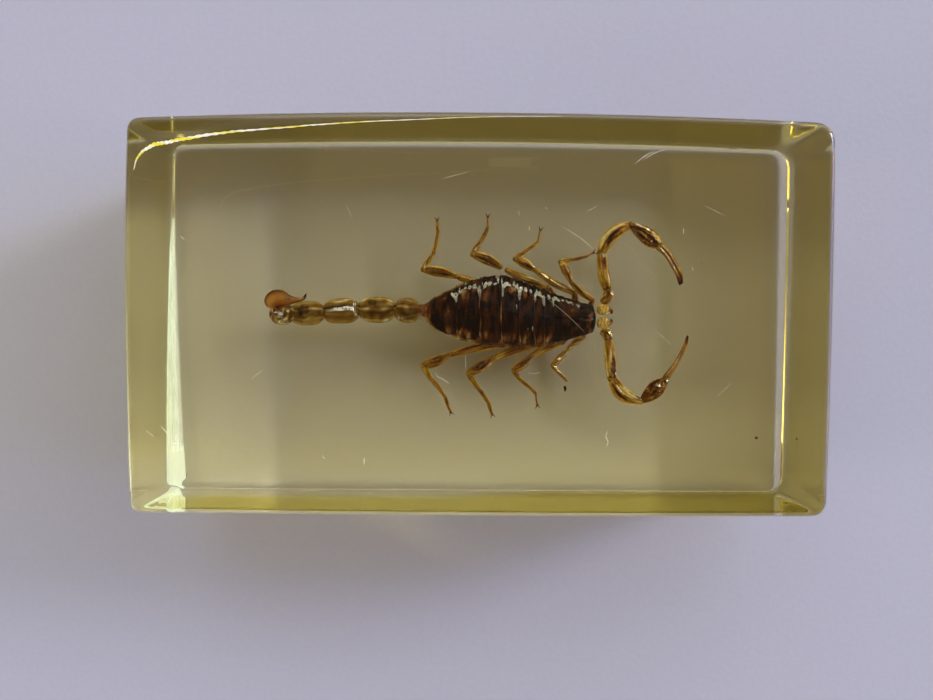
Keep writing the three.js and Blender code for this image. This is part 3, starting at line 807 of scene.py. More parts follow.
def claws(shape, heel, foot):
    """Two hooked claws, a short one between them, and two spurs behind them."""
    heel, foot = np.array(heel), np.array(foot)
    ahead = unit(foot - heel)
    flat = unit(np.array([ahead[0], ahead[1], 0]))
    across = np.cross(UP, flat)
    for sign in (-1, 1):
        out = flat * math.cos(0.55) + across * math.sin(0.55) * sign
        middle, end = foot + out * 0.28 + UP * 0.03, foot + out * 0.56 - UP * 0.14
        rings, t, a = tube([foot - flat * 0.05, middle, end], [0.085, 0.05, 0.02], 1.0, 10, 12)
        shape.add(rings, 0.16 - 0.1 * t)
        spike(shape, foot - flat * 0.14, foot - flat * 0.02 + across * sign * 0.24 - UP * 0.05, 0.035, 0.15)
    spike(shape, foot, foot + flat * 0.2 - UP * 0.12, 0.05, 0.2)


def bristles(shape, start, end, radius, count, length):
    """Fine pale hairs that stand out from one length of a limb and lean towards its tip."""
    start, end = np.array(start), np.array(end)
    ahead = unit(end - start)
    side = unit(np.cross(UP, ahead))
    top = np.cross(ahead, side)
    for _ in range(count):
        t, a = random.uniform(0.08, 0.95), random.uniform(0, 2 * math.pi)
        out = side * math.cos(a) + top * math.sin(a)
        base = start + (end - start) * t + out * radius * 0.8
        tip = base + unit(out + ahead * random.uniform(0.5, 1.1)) * length * random.uniform(0.6, 1.2)
        spike(shape, base, tip, 0.016, 0.75, sides=4, steps=4)


random = np.random.default_rng(11)
print("knuckles, spikes, claws and bristles can be drawn")

# %% [markdown]
# ## Where the legs lie
#
# Each leg bends down and out of the body through a hip, a short thigh, a swollen patella, and then three
# thinner lengths to a foot with two claws. The third left leg has snapped behind its thigh, and the first
# right leg has lost its foot, which lies loose nearby. A joint is a place in millimetres, and a girth
# scales every radius of a leg.

# %% Joints, girths and marks of the legs
LEG_JOINTS = {
    "left_1": [
        (12.2, 0.2, 7.4), (12.9, 1.9, 8.0), (10.4, 3.9, 8.8), (9.2, 6.1, 9.4), (10.6, 6.4, 8.9),
        (12.2, 6.8, 8.3), (12.9, 7.2, 7.9),
    ],
    "left_2": [
        (11.1, 0.2, 7.4), (10.9, 2.7, 7.8), (6.4, 5.2, 8.8), (4.2, 6.4, 9.4), (5.6, 7.5, 8.9),
        (6.7, 8.4, 8.4), (7.0, 9.7, 7.8),
    ],
    "left_3": [
        (10.0, 0.2, 7.4), (7.9, 3.3, 7.8), (3.0, 5.3, 8.9), (-0.5, 6.9, 9.6), (0.4, 8.5, 8.9),
        (1.1, 10.0, 8.1), (1.1, 11.2, 7.5),
    ],
    "left_4": [
        (8.9, 0.2, 7.3), (4.6, 2.9, 7.2), (-2.4, 4.5, 8.5), (-6.0, 5.2, 9.6), (-5.0, 6.9, 8.9),
        (-4.5, 9.3, 8.0), (-4.6, 10.8, 7.4),
    ],
    "right_1": [
        (12.2, -0.7, 7.4), (11.9, -2.25, 8.0), (10.1, -3.6, 8.8), (8.4, -5.4, 9.4), (9.3, -6.4, 9.0),
        (10.1, -7.2, 8.6),
    ],
    "right_2": [
        (11.1, -0.7, 7.4), (9.6, -2.85, 7.8), (6.1, -4.3, 8.8), (4.1, -6.0, 9.4), (5.0, -7.2, 8.9),
        (6.6, -8.6, 8.2), (6.8, -9.9, 7.7),
    ],
    "right_3": [
        (10.0, -0.7, 7.4), (7.0, -3.15, 7.7), (1.8, -4.6, 8.9), (-0.9, -6.3, 9.4), (0.1, -8.0, 8.8),
        (1.3, -9.7, 8.0), (1.7, -11.0, 7.4),
    ],
    "right_4": [
        (8.9, -0.7, 7.4), (3.3, -3.05, 7.6), (-3.1, -4.3, 8.9), (-6.0, -5.5, 9.4), (-5.0, -7.2, 8.8),
        (-3.6, -9.1, 8.0), (-3.0, -10.8, 7.4),
    ],
}
LEG_GIRTH = {"left_1": 0.8, "left_2": 0.9, "right_1": 0.72, "right_2": 0.85}
LEG_RADII = [
    (0.34, 0.42, 0.42, 0.36), (0.34, 0.44, 0.49, 0.43, 0.33), (0.30, 0.47, 0.59, 0.55, 0.40),
    (0.36, 0.35, 0.31, 0.28, 0.25), (0.23, 0.25, 0.22, 0.21, 0.20), (0.18, 0.21, 0.18, 0.17, 0.13),
]
LEG_BOWS = [0, 0.03, -0.03, 0.03, -0.02, 0.02]
LEG_TONES = [0.44, 0.54, 0.48, 0.50, 0.46, 0.42]
LEG_CORES = {"left_1": 0.20, "left_2": 0.16, "left_3": 0.30, "left_4": 0.12}
SPURRED, FOOT = 3, 5  # the numbers of the length that ends in a spur, and of the last one
FOOT_GIRTH = {"left_1": 0.5, "left_2": 0.6, "left_3": 0.55, "right_2": 0.6}
# Streaks of air, veins of dark flesh and pale patches on single lengths, counted from the hip. The
# bright streaks of air sit where the shell catches the light, so they are partly painted highlights.
LEG_MARKS = {
    ("left_1", 2): [
        (0.5, 2.0, 0.38, 0.16, 0.5, 1.0), (0.5, 2.7, 0.34, 0.14, 0.4, 0.9),
        (0.95, 1.6, 0.10, 1.2, 0.3, 0.3),
    ],
    ("left_2", 1): [(0.76, 1.85, 0.15, 0.34, 0.5, 0.9), (0.46, 1.8, 0.20, 0.12, 0.4, 0.8)],
    ("left_2", 2): [(0.1, 2.4, 0.12, 0.28, 0.4, 0.9), (0.5, 1.4, 0.3, 0.5, -0.15, 0)],
    ("left_3", 2): [
        (0.5, 1.2, 0.42, 0.2, -0.42, 0), (0.45, 2.1, 0.38, 0.22, -0.36, 0),
        (0.35, 2.7, 0.3, 0.15, 0.2, 0.4),
    ],
    ("left_3", 3): [
        (0.3, 1.5, 0.14, 0.3, 0.4, 1.0), (0.55, 1.9, 0.2, 0.25, 0.4, 0.9),
        (0.85, 1.6, 0.07, 0.4, 0.4, 1.0),
    ],
    ("left_4", 1): [
        (0.45, 1.8, 0.07, 0.35, 0.3, 0.8), (0.6, 2.0, 0.06, 0.3, 0.3, 0.7),
        (0.75, 1.8, 0.05, 0.3, 0.3, 0.6),
    ],
    ("left_4", 2): [
        (0.5, 2.5, 0.45, 0.16, 0.35, 0.4), (0.5, 2.0, 0.4, 0.13, -0.3, 0),
        (0.45, 1.2, 0.4, 0.13, -0.25, 0),
    ],
    ("left_4", 3): [(0.1, 1.6, 0.12, 0.5, 0.4, 0.8), (0.55, 1.3, 0.3, 0.3, -0.25, 0)],
    ("right_1", 1): [
        (0.5, 0.95, 0.45, 0.24, 0.6, 1.0), (0.88, 1.0, 0.11, 0.6, 0.7, 1.1),
        (0.6, 1.1, 0.08, 0.4, 0.6, 1.1),
    ],
    ("right_1", 2): [(0.5, 1.1, 0.50, 0.30, 0.6, 1.1), (0.6, 1.6, 0.1, 0.5, 0.5, 1.0)],
    ("right_1", 3): [(0.15, 1.0, 0.22, 0.5, 0.6, 1.1), (0.6, 0.9, 0.38, 0.28, 0.5, 0.9)],
    ("right_1", 4): [(0.6, 0.8, 0.45, 0.38, 0.6, 1.1)],
    ("right_2", 2): [(0.42, 0.75, 0.28, 0.18, 0.5, 1.0), (0.45, 1.6, 0.38, 0.42, -0.34, 0)],
    ("right_3", 2): [(0.35, 0.7, 0.25, 0.16, 0.45, 0.9), (0.5, 1.6, 0.38, 0.45, -0.34, 0)],
    ("right_4", 2): [(0.5, 1.7, 0.3, 0.5, -0.16, 0)],
}
BROKEN = ("left_3", 2)  # the length behind the break
BREAK_GAP = 0.28
print("marks on the legs:", sum(len(marks) for marks in LEG_MARKS.values()))

# %% [markdown]
# ## The legs
#
# Every leg is one loop over its lengths: the painted tube, the knuckle at its start, and its hairs. The
# broken leg is parted into a stump and an end where its length falls, with a gap between them. Tone
# varies a little from length to length, by a seeded draw, so that the script makes the same legs every
# time.

# %% Eight legs and a loose foot
for leg, (name, joints) in enumerate(LEG_JOINTS.items()):
    girth = LEG_GIRTH.get(name, 1.0)
    hand = 1 if name.startswith("left") else -1
    # lit: the angle round each length where its painted highlight lies, on the side towards the lamp.
    core, lit = LEG_CORES.get(name, 0.12), 2.0 if hand > 0 else 0.9
    shape = Shape()
    for i, (start, end) in enumerate(zip(np.array(joints), np.array(joints[1:]))):
        if (name, i) == BROKEN:
            shape.place("leg_left_3_stump", LIMB_SHELL, "limb_shell", "leg_left_3")
            shape = Shape()
            start = start + unit(end - start) * BREAK_GAP
        radii = [r * girth * (FOOT_GIRTH.get(name, 1.0) if i == FOOT else 1.0) for r in LEG_RADII[i]]
        tone, marks = LEG_TONES[i] + random.uniform(-0.05, 0.05), LEG_MARKS.get((name, i), ())
        limb(shape, bowed(start, end, LEG_BOWS[i] * hand), radii, tone, 7 * leg + i, marks, core, lit)
        if i and (name, i) != BROKEN:
            knuckle(shape, start, end - start, 0.95 * girth * min(LEG_RADII[i - 1][-1], LEG_RADII[i][0]))
        if i == SPURRED:
            spike(shape, end, end + (0.12 * hand, 0.26 * hand, -0.12), 0.05, 0.2)
        if i:
            bristles(shape, start, end, max(radii), 14 if i == FOOT else 9, 0.26)
    if name != "right_1":
        claws(shape, joints[-2], joints[-1])
    if name == "left_3":
        shape.place("leg_left_3_end", LIMB_SHELL, "limb_shell", "leg_left_3_broken_end")
    else:
        shape.place("leg_" + name + "_shell", LIMB_SHELL, "limb_shell", "leg_" + name)

LOOSE_FOOT = np.array([(9.83, -7.70, 8.5), (9.88, -8.28, 8.35)])
loose = Shape()
limb(loose, bowed(*LOOSE_FOOT, 0.03), (0.10, 0.17, 0.15, 0.09), 0.22, 77)
for lean in (-0.12, 0.12):
    spike(loose, LOOSE_FOOT[1] + (0, 0.03, 0), LOOSE_FOOT[1] + (lean, -0.20, -0.10), 0.03, 0.15)
loose.place("loose_foot_shell", LIMB_SHELL, "limb_shell", "leg_right_1_loose_foot")

# %% [markdown]
# ## The tail
#
# The tail is five barrels, each a little longer than the one before. Fine keels run along them, and the
# dry wall between the keels has sunk in folds. Each barrel shows a dark gut beside a pale streak, and its
# own patches of air: the third has a long bright stripe, and the last, which turns upwards, is flecked
# all over. The soft skin between two barrels is a short plug.

# %% Barrels and the plugs between them
TAIL_JOINTS = np.array([
    (-6.5, 0.6, 9.6), (-9.2, 0.75, 9.7), (-13.15, 0.72, 9.9), (-17.05, 0.42, 10.2), (-20.53, 0.18, 11.1),
    (-22.12, 0.22, 13.3),
])
TAIL_RADII = [1.32, 1.38, 1.36, 1.30, 1.18]
TAIL_PROFILE = [0.62, 0.90, 1.0, 1.01, 0.99, 0.89, 0.64]
TAIL_TONES = [0.47, 0.54, 0.54, 0.53, 0.53]
TAIL_CORES = [0.1, 0.35, -0.35, 0.15, 0.0]  # where each dark core runs, from -1 to 1 across the barrel
PLUG_RADII = [0.80, 0.82, 0.80, 0.76]


def barrel_paint(i, t, a):
    """The tone of one barrel: pale rims, fine streaks, a dark core, a pale one beside it, and dark ends."""
    middle = np.sin(math.pi * t) ** 0.6
    across = np.cos(a) + 0.06 * grain(i + 45, t, a, 2, 2)
    dark = bell(across, TAIL_CORES[i], 0.22) * smooth(grain(i + 47, t, a, 2, 2), -0.9, 0.5)
    pale = bell(across, TAIL_CORES[i] - 0.42, 0.11) * smooth(grain(i + 49, t, a, 2, 2), -1.0, 0.3)
    paint = TAIL_TONES[i] + (0.26 * pale - 0.30 * dark) * middle
    paint += 0.22 * smooth(np.abs(across), 0.70, 0.88) - 0.20 * smooth(np.abs(np.cos(a)), 0.93, 1.0)
    paint += 0.07 * np.sin(2 * math.pi * (2.3 * across + 0.3 * i))
    paint += 0.06 * np.sin(2 * math.pi * 6.5 * across + i)
    paint += 0.20 * smooth(grain(i + 40, t, a, 9, 1.5, 9), 0.7, 1.6) + 0.06 * grain(i + 43, t, a, 6, 4)
    return paint - 0.25 * (1 - smooth(np.minimum(t, 1 - t), 0.0, 0.04))


def barrel_marks(i, t, a, paint):
    """What sets one barrel apart: its own dark and pale patches, and where air shines."""
    shine = 0.7 * smooth(grain(i + 48, t, a, 8, 5, 9), 1.7, 2.3)
    if i == 0:
        shine = 0.8 * cover(t, a, 0.72, 0.75, 0.22, 0.25, 19) * smooth(grain(9, t, a, 4, 9), -0.2, 0.6)
    if i == 1:
        paint = paint - 0.34 * cover(t, a, 0.62, 2.25, 0.14, 0.32, 17) + 0.10 * grain(18, t, a, 5, 5, 9)
    if i == 2:
        stripe = 1.80 - 0.16 * t + 0.03 * grain(3, t, a, 1, 6)
        shine = 1.2 * bell(a, stripe, 0.24 - 0.16 * t) * smooth(t, 0.13, 0.2) * (1 - smooth(t, 0.90, 0.97))
        collar = bell(t, 0.05 + 0.09 * np.cos(a - 1.6) ** 2, 0.035) * (np.sin(a) > 0.25)
        shine = np.maximum(shine, 1.2 * collar)
    if i == 3:
        shine = 1.1 * bell(a, 0.35, 0.14) * smooth(grain(12, t, a, 2, 6), 0.3, 1.0)
        paint = paint - 0.30 * cover(t, a, 0.66, 1.8, 0.2, 0.5, 15)
        paint = paint + 0.16 * cover(t, a, 0.4, 0.9, 0.4, 0.4, 16)
    if i == 4:
        shine = 0.9 * smooth(grain(8, t, a, 7, 4, 9), 0.5, 1.2) * (np.sin(a) > -0.5)
        paint = paint + 0.35 * smooth(grain(12, t, a, 6, 4, 9), 0.2, 1.0)
        paint = paint - 0.3 * smooth(grain(13, t, a, 6, 4, 9), 0.6, 1.2)
    return paint, shine


tail = Shape()
for i, (start, end) in enumerate(zip(TAIL_JOINTS, TAIL_JOINTS[1:])):
    def keels(t, a, i=i):
        middle = np.sin(math.pi * t)
        ridges = 0.035 * np.abs(np.cos(4 * a + 0.4)) ** 6 * middle
        ripple = 0.010 * np.sin(2 * math.pi * 9 * t + grain(i, t, a, 3, 2)) * (1 - middle) ** 0.5
        return ridges + ripple + 0.022 * grain(i + 20, t, a, 6, 1.5) * middle

    radii = [TAIL_RADII[i] * share for share in TAIL_PROFILE]
    rings, t, a = tube(bowed(start, end, 0.015), radii, 0.9, 96, 110, keels, cap=0.05)
    tail.add(rings, *barrel_marks(i, t, a, barrel_paint(i, t, a)))
for here, after, radius in zip(TAIL_JOINTS[1:], TAIL_JOINTS[2:], PLUG_RADII):
    lean = unit(after - here) * 0.42
    rings, t, a = tube([here - lean, here, here + lean], [radius, radius * 0.92, radius], 0.9, 48, 14)
    tail.add(rings, 0.46 + 0.3 * grain(31, t, a, 9, 2, 9), 0.8 * smooth(grain(33, t, a, 7, 2), 0.5, 1.3))
tail.place("tail_rings", TAIL_SHELL, "tail_shell", "tail")

# %% [markdown]
# ## The sting
#
# The bulb that holds the poison lies folded forwards over the last barrel, and narrows into a thin hook.
# Bulb and hook are one tube whose radius falls away, painted darker towards the tip, and one painted
# highlight sits on top of the bulb.

# %% The bulb and its hook
STING_POINTS = [
    (-22.05, 0.8, 13.85), (-21.9, 1.4, 14.1), (-21.25, 1.65, 14.2), (-20.3, 1.6, 14.15),
    (-19.45, 1.62, 14.05), (-18.75, 1.8, 13.85), (-18.45, 2.4, 13.6),
]
STING_RADII = [0.55, 0.98, 1.13, 1.0, 0.62, 0.34, 0.22, 0.16, 0.04]


def dimples(t, a):
    return 0.012 * grain(60, t, a, 3, 2) * np.sin(math.pi * t)


sting = Shape()
rings, t, a = tube(STING_POINTS, STING_RADII, 0.95, 64, 150, dimples, cap=0.05)
paint = 0.52 + 0.16 * bell(a, 1.3, 0.5) + 0.05 * grain(61, t, a, 3, 2) - 0.75 * smooth(t, 0.80, 0.93)
paint = paint - 0.20 * bell(np.cos(a), 0.9, 0.25) - 0.16 * bell(np.cos(a), -0.75, 0.2)
# The glint here is one painted highlight: a bright spot on top of the bulb.
sting.add(rings, paint, 1.5 * bell(a, 1.45, 0.16) * bell(t, 0.50, 0.06))
bristles(sting, (-22.2, 1.6, 14.0), (-20.2, 1.7, 14.1), 1.05, 22, 0.35)
sting.place("sting_bulb", STINGER_SHELL, "stinger_shell", "stinger")

# %% [markdown]
# ## Where the pincers lie
#
# The pincers are held forward in two hooks. An arm has a short shoulder, a long upper arm, a swollen
# forearm and a hand whose two long fingers lie closed. Each length is its points, its radii and its tone.
# Sinew runs dark under thin pale plates, and the folds at the joints hold bright air, so the arms have
# more marks than the legs. Their bright marks sit where the shell catches the light, so they are partly
# painted highlights.

# %% Points, radii and marks of the arms
PINCERS = {
    "left": [
        ([(13.85, 1.5, 8.95), (14.45, 2.3, 9.3), (14.4, 3.05, 9.4)], (0.42, 0.56, 0.58, 0.42), 0.48),
        ([(14.4, 2.95, 9.4), (13.85, 5.0, 9.7), (13.6, 7.2, 9.9)],
         (0.42, 0.60, 0.66, 0.62, 0.60, 0.52), 0.58),
        ([(13.6, 7.0, 9.9), (14.35, 8.6, 10.1), (15.6, 9.6, 10.2), (16.9, 10.1, 10.1)],
         (0.54, 0.68, 0.76, 0.74, 0.60, 0.40), 0.54),
        ([(16.8, 10.1, 10.1), (18.0, 9.35, 10.0), (19.0, 8.6, 9.9), (19.9, 7.9, 9.8)],
         (0.36, 0.66, 0.86, 0.92, 0.80, 0.52), 0.32),
    ],
    "right": [
        ([(13.85, -1.45, 8.95), (14.4, -1.95, 9.3), (14.55, -2.5, 9.4)], (0.42, 0.56, 0.58, 0.46), 0.48),
        ([(14.55, -2.4, 9.4), (14.75, -4.85, 9.7), (14.95, -6.95, 9.9)],
         (0.44, 0.58, 0.64, 0.62, 0.58, 0.52), 0.58),
        ([(14.95, -6.8, 9.9), (15.65, -8.1, 10.1), (16.75, -8.9, 10.2), (18.25, -9.37, 10.1)],
         (0.52, 0.68, 0.76, 0.74, 0.58, 0.34), 0.52),
        ([(18.15, -9.32, 10.1), (19.35, -8.3, 10.0), (20.25, -7.42, 9.9), (21.05, -6.67, 9.8)],
         (0.32, 0.72, 0.90, 0.84, 0.56, 0.26), 0.24),
    ],
}
PINCER_MARKS = {
    ("left", 0): [(0.75, 2.4, 0.14, 0.5, 0.5, 1.2), (0.3, 2.7, 0.2, 0.3, 0.4, 1.0)],
    ("left", 1): [
        (0.78, 2.1, 0.18, 0.4, -0.32, 0), (0.30, 2.3, 0.18, 0.12, 0.4, 0.6),
        (0.90, 1.9, 0.05, 0.35, 0.4, 1.1), (0.97, 1.6, 0.04, 0.4, 0.4, 1.0),
        (0.55, 1.3, 0.4, 0.10, 0.25, 0.2), (0.06, 1.6, 0.05, 1.5, -0.3, 0),
    ],
    ("left", 2): [
        (0.45, 0.95, 0.38, 0.35, 0.34, 0.35), (0.45, 1.8, 0.30, 0.45, -0.36, 0),
        (0.6, 2.6, 0.4, 0.14, 0.4, 0.5), (0.95, 1.6, 0.06, 1.5, -0.3, 0),
    ],
    ("left", 3): [
        (0.2, 0.7, 0.18, 0.30, 0.6, 0.9), (0.42, 0.8, 0.08, 0.3, 0.6, 1.1),
        (0.62, 0.85, 0.12, 0.4, 0.34, 0.5), (0.85, 0.9, 0.13, 0.45, 0.30, 0.4),
        (0.5, 1.5, 0.4, 0.14, -0.3, 0), (0.45, 2.1, 0.35, 0.14, -0.3, 0),
        (0.7, 1.8, 0.04, 0.2, 0.5, 0.8), (0.55, 2.6, 0.2, 0.2, 0.1, 0.3),
    ],
    ("right", 0): [
        (0.6, 0.8, 0.2, 0.5, 0.5, 1.2), (0.1, 1.6, 0.1, 0.6, 0.3, 0.6),
        (0.97, 1.6, 0.05, 1.5, -0.3, 0),
    ],
    ("right", 1): [
        (0.70, 1.10, 0.30, 0.55, -0.44, 0), (0.34, 1.45, 0.12, 0.08, 0.4, 0.5),
        (0.34, 0.85, 0.12, 0.08, 0.4, 0.5), (0.68, 1.95, 0.08, 0.12, 0.6, 1.1),
        (0.85, 0.6, 0.05, 0.22, 0.5, 1.1), (0.97, 0.7, 0.04, 0.3, 0.5, 1.2),
        (0.95, 2.2, 0.06, 0.7, -0.3, 0),
    ],
    ("right", 2): [
        (0.58, 0.95, 0.40, 0.60, 0.28, 0.25), (0.35, 1.45, 0.18, 0.16, 0.4, 0.8),
        (0.55, 0.80, 0.36, 0.07, -0.4, 0), (0.62, 1.15, 0.28, 0.06, -0.4, 0),
        (0.65, 0.50, 0.3, 0.12, 0.4, 0.75), (0.88, 0.7, 0.08, 0.4, 0.5, 1.3),
        (0.72, 1.45, 0.2, 0.10, 0.4, 0.65), (0.5, 2.0, 0.5, 0.22, -0.36, 0),
    ],
    ("right", 3): [
        (0.60, 1.45, 0.06, 0.25, 0.6, 1.1), (0.72, 1.55, 0.05, 0.2, 0.6, 1.1),
        (0.55, 0.7, 0.2, 0.35, -0.3, 0), (0.5, 2.0, 0.4, 0.14, 0.18, 0),
        (0.95, 1.9, 0.09, 0.7, 0.5, 0.8), (0.35, 2.4, 0.3, 0.12, -0.25, 0),
    ],
}
FINGERS = {
    "left": ([(19.7, 8.05, 9.8), (20.8, 7.1, 9.5), (21.6, 6.0, 9.2), (22.3, 4.8, 8.9), (22.6, 3.65, 8.6)],
             (0.34, 0.25, 0.21, 0.20, 0.19, 0.15)),
    "right": ([(20.65, -6.92, 9.8), (21.85, -5.32, 9.5), (22.57, -4.1, 9.2), (23.12, -3.0, 8.9),
               (23.42, -1.95, 8.6)],
              (0.30, 0.19, 0.15, 0.13, 0.11, 0.06)),
}
# How far each finger lies from the middle, how strongly the painted highlight along its top shows, and the
# hand's pale cracks.
FINGERS_APART = {"left": np.array([0.16, 0.12, 0]), "right": np.array([0.088, -0.066, 0])}
FINGER_HIGHLIGHT = {"left": 1.0, "right": 0.5}
HAND_CRACKS = {"left": 0.34, "right": 0.52}
HAND = 3  # the number of an arm's last length
print("marks on the arms:", sum(len(marks) for marks in PINCER_MARKS.values()))

# %% [markdown]
# ## The pincers
#
# The arms are made as the legs are, with a finer grid, because they are the largest limbs. The fingers
# are two thin tubes side by side that meet at their tips. A painted highlight runs along the top of
# each, and they darken towards their ends.

# %% Arms and fingers
for k, (hand, lengths) in enumerate(PINCERS.items()):
    arm = Shape()
    for i, (points, radii, tone) in enumerate(lengths):
        # lit: the angle round each length where its painted highlight lies, on the side towards the lamp.
        lit = 0.7 if (hand, i) == ("left", HAND) else 1.2
        net = HAND_CRACKS[hand] if i == HAND else 0.10
        limb(
            arm, points, radii, tone, 200 + 10 * k + i, PINCER_MARKS[hand, i],
            core=0.22, lit=lit, net=net, sides=64, steps=120, height=0.85, cap=0.08,
        )
        bristles(arm, points[0], points[-1], max(radii) * 1.1, 16, 0.3)
        if i:
            start, ahead = np.array(points[0]), np.subtract(points[1], points[0])
            knuckle(arm, start, ahead, 0.95 * min(lengths[i - 1][1][-1], radii[0]))
    points, radii = FINGERS[hand]
    for sign in (-1, 1):
        path = [np.array(p) + sign * FINGERS_APART[hand] * (0.55 if p is points[-1] else 1.0) for p in points]
        rings, t, a = tube(path, radii, 1.0, 28, 90, lambda t, a: 0.04 * grain(240 + k, t, a, 4, 6), 0.06)
        along = smooth(t, 0.02, 0.12) * (1 - smooth(t, 0.68, 0.84))
        # A painted highlight along the top of each finger.
        painted_highlight = bell(a, 1.5, 0.34) * along * FINGER_HIGHLIGHT[hand]
        paint = 0.44 + 0.34 * painted_highlight - 0.34 * smooth(t, 0.70, 0.97) + 0.08 * grain(250 + k, t, a, 4, 3)
        shine = (1.15 if sign < 0 else 0.7) * painted_highlight * smooth(grain(255 + k, t, a, 1, 5), -1.3, 0.2)
        arm.add(rings, paint, shine)
    arm.place("pincer_" + hand + "_arm", LIMB_SHELL, "limb_shell", "pincer_" + hand)

# %% [markdown]
# ## The jaws
#
# The jaws are two pale stubby blocks in front of the brow, each with a small hooked finger at its front
# that bends inwards. A tube with four soft corners is blocky enough, and deep wrinkles break up its
# sides.

# %% Two jaws
JAW_Y = {"left": 0.82, "right": -0.68}
for k, (hand, y) in enumerate(JAW_Y.items()):
    def wrinkles(t, a, k=k):
        return 0.05 * np.cos(4 * a + math.pi) + 0.05 * grain(300 + k, t, a, 7, 5)

    jaw = Shape()
    inwards = -1 if hand == "left" else 1
    block = [(13.15, y, 10.25), (13.8, y, 10.25), (14.47, y, 10.2)]
    rings, t, a = tube(block, (0.42, 0.58, 0.62, 0.60, 0.44), 0.9, 48, 50, wrinkles, 0.16)
    shine = 0.9 * smooth(grain(320 + k, t, a, 6, 5), 0.3, 1.1)
    jaw.add(rings, 0.74 + 0.12 * grain(310 + k, t, a, 6, 4), shine)
    hook = [
        (x, y + aside * inwards, z)
        for x, aside, z in ((14.3, -0.15, 10.25), (14.62, 0, 10.15), (14.8, 0.25, 10.0), (14.72, 0.5, 9.85))
    ]
    rings, t, a = tube(hook, (0.26, 0.22, 0.14, 0.05), 0.9, 20, 26)
    jaw.add(rings, 0.5 - 0.5 * smooth(t, 0.25, 0.7))
    bristles(jaw, (13.6, y, 10.3), (14.4, y, 10.3), 0.5, 14, 0.22)
    jaw.place("jaw_" + hand + "_block", LIMB_SHELL, "limb_shell", "jaw_" + hand)

# %% [markdown]
# ## The trunk's own form
#
# Seven plates overlap along the back like roof tiles, each lip lying on the plate behind it, and a head
# shield covers the front. The whole trunk is one fine grid of rings from tail to head, drawn from a few
# sections of the body. Plates could be separate shells, but one grid with raised plates never gapes, and
# it can be painted in one piece.

# %% Sections of the trunk
# Along the body: place, middle, half width, top and underside.
BODY_SECTIONS = np.array([
    (-6.75, 0.55, 0.98, 10.35, 8.85), (-5.9, 0.45, 1.12, 10.5, 8.7), (-4.9, 0.35, 1.75, 10.8, 8.4),
    (-3.5, 0.35, 2.6, 11.4, 8.1), (-2.0, 0.45, 3.15, 11.9, 7.9), (-0.6, 0.6, 3.6, 12.2, 7.8),
    (1.9, 0.65, 4.05, 12.5, 7.8), (3.3, 0.55, 4.05, 12.5, 7.9), (5.1, 0.2, 3.8, 12.4, 8.1),
    (6.8, -0.05, 3.35, 12.1, 8.2), (8.4, -0.2, 2.95, 11.8, 8.2), (10.0, -0.25, 2.5, 11.6, 8.2),
    (11.7, -0.25, 1.95, 11.3, 8.3), (13.0, -0.2, 1.65, 10.8, 8.6),
])
WIDEST_HEIGHT = 9.6
BACK_FULLNESS = 0.85
AROUND, ALONG = 220, 420
SOFTEN = 17  # how many rings the sections are averaged over


def rounded_end(distance, reach, least):
    """How much of the width is left near an end of the body, which closes like a dome."""
    share = np.clip(distance / reach, 0, 1)
    return np.sqrt(np.clip(1 - (1 - share) ** 2, least, 1))


section_x = BODY_SECTIONS[:, 0]
x = np.linspace(section_x[0], section_x[-1], ALONG)
measures = []
for column in BODY_SECTIONS.T[1:]:
    padded = np.pad(np.interp(x, section_x, column), SOFTEN // 2, mode="edge")
    measures.append(np.convolve(padded, np.ones(SOFTEN) / SOFTEN, mode="valid")[:, None])
middle_y, half_width, top_z, low_z = measures
front, rear = rounded_end(section_x[-1] - x, 0.35, 0.15), rounded_end(x - section_x[0], 0.3, 0.1)
half_width = half_width * front[:, None] * rear[:, None]
X = x[:, None] * np.ones((1, AROUND))
A = np.linspace(0, 2 * math.pi, AROUND, endpoint=False)[None, :] * np.ones((ALONG, 1))
back = np.sin(A) > 0
across = np.cos(A)  # from the body's right side, -1, to its left side, 1
lift = np.sign(np.sin(A)) * np.abs(np.sin(A)) ** np.where(back, BACK_FULLNESS, 1.0)
rise = np.where(back, top_z - WIDEST_HEIGHT, WIDEST_HEIGHT - low_z)
Y = middle_y + half_width * across
Z = WIDEST_HEIGHT + rise * lift
print("trunk:", round(2 * half_width.max(), 1), "mm wide and", round(x[-1] - x[0], 1), "mm long")

# %% [markdown]
# ## Plates and their lips
#
# A plate is where a corner of the grid lies inside a rounded oblong, and `inside` is how far inside, in
# millimetres: negative on the soft skin between the plates. Each plate's rear edge is worn in its own
# way, and its lip, a thin pale welt, comes and goes with that wear.

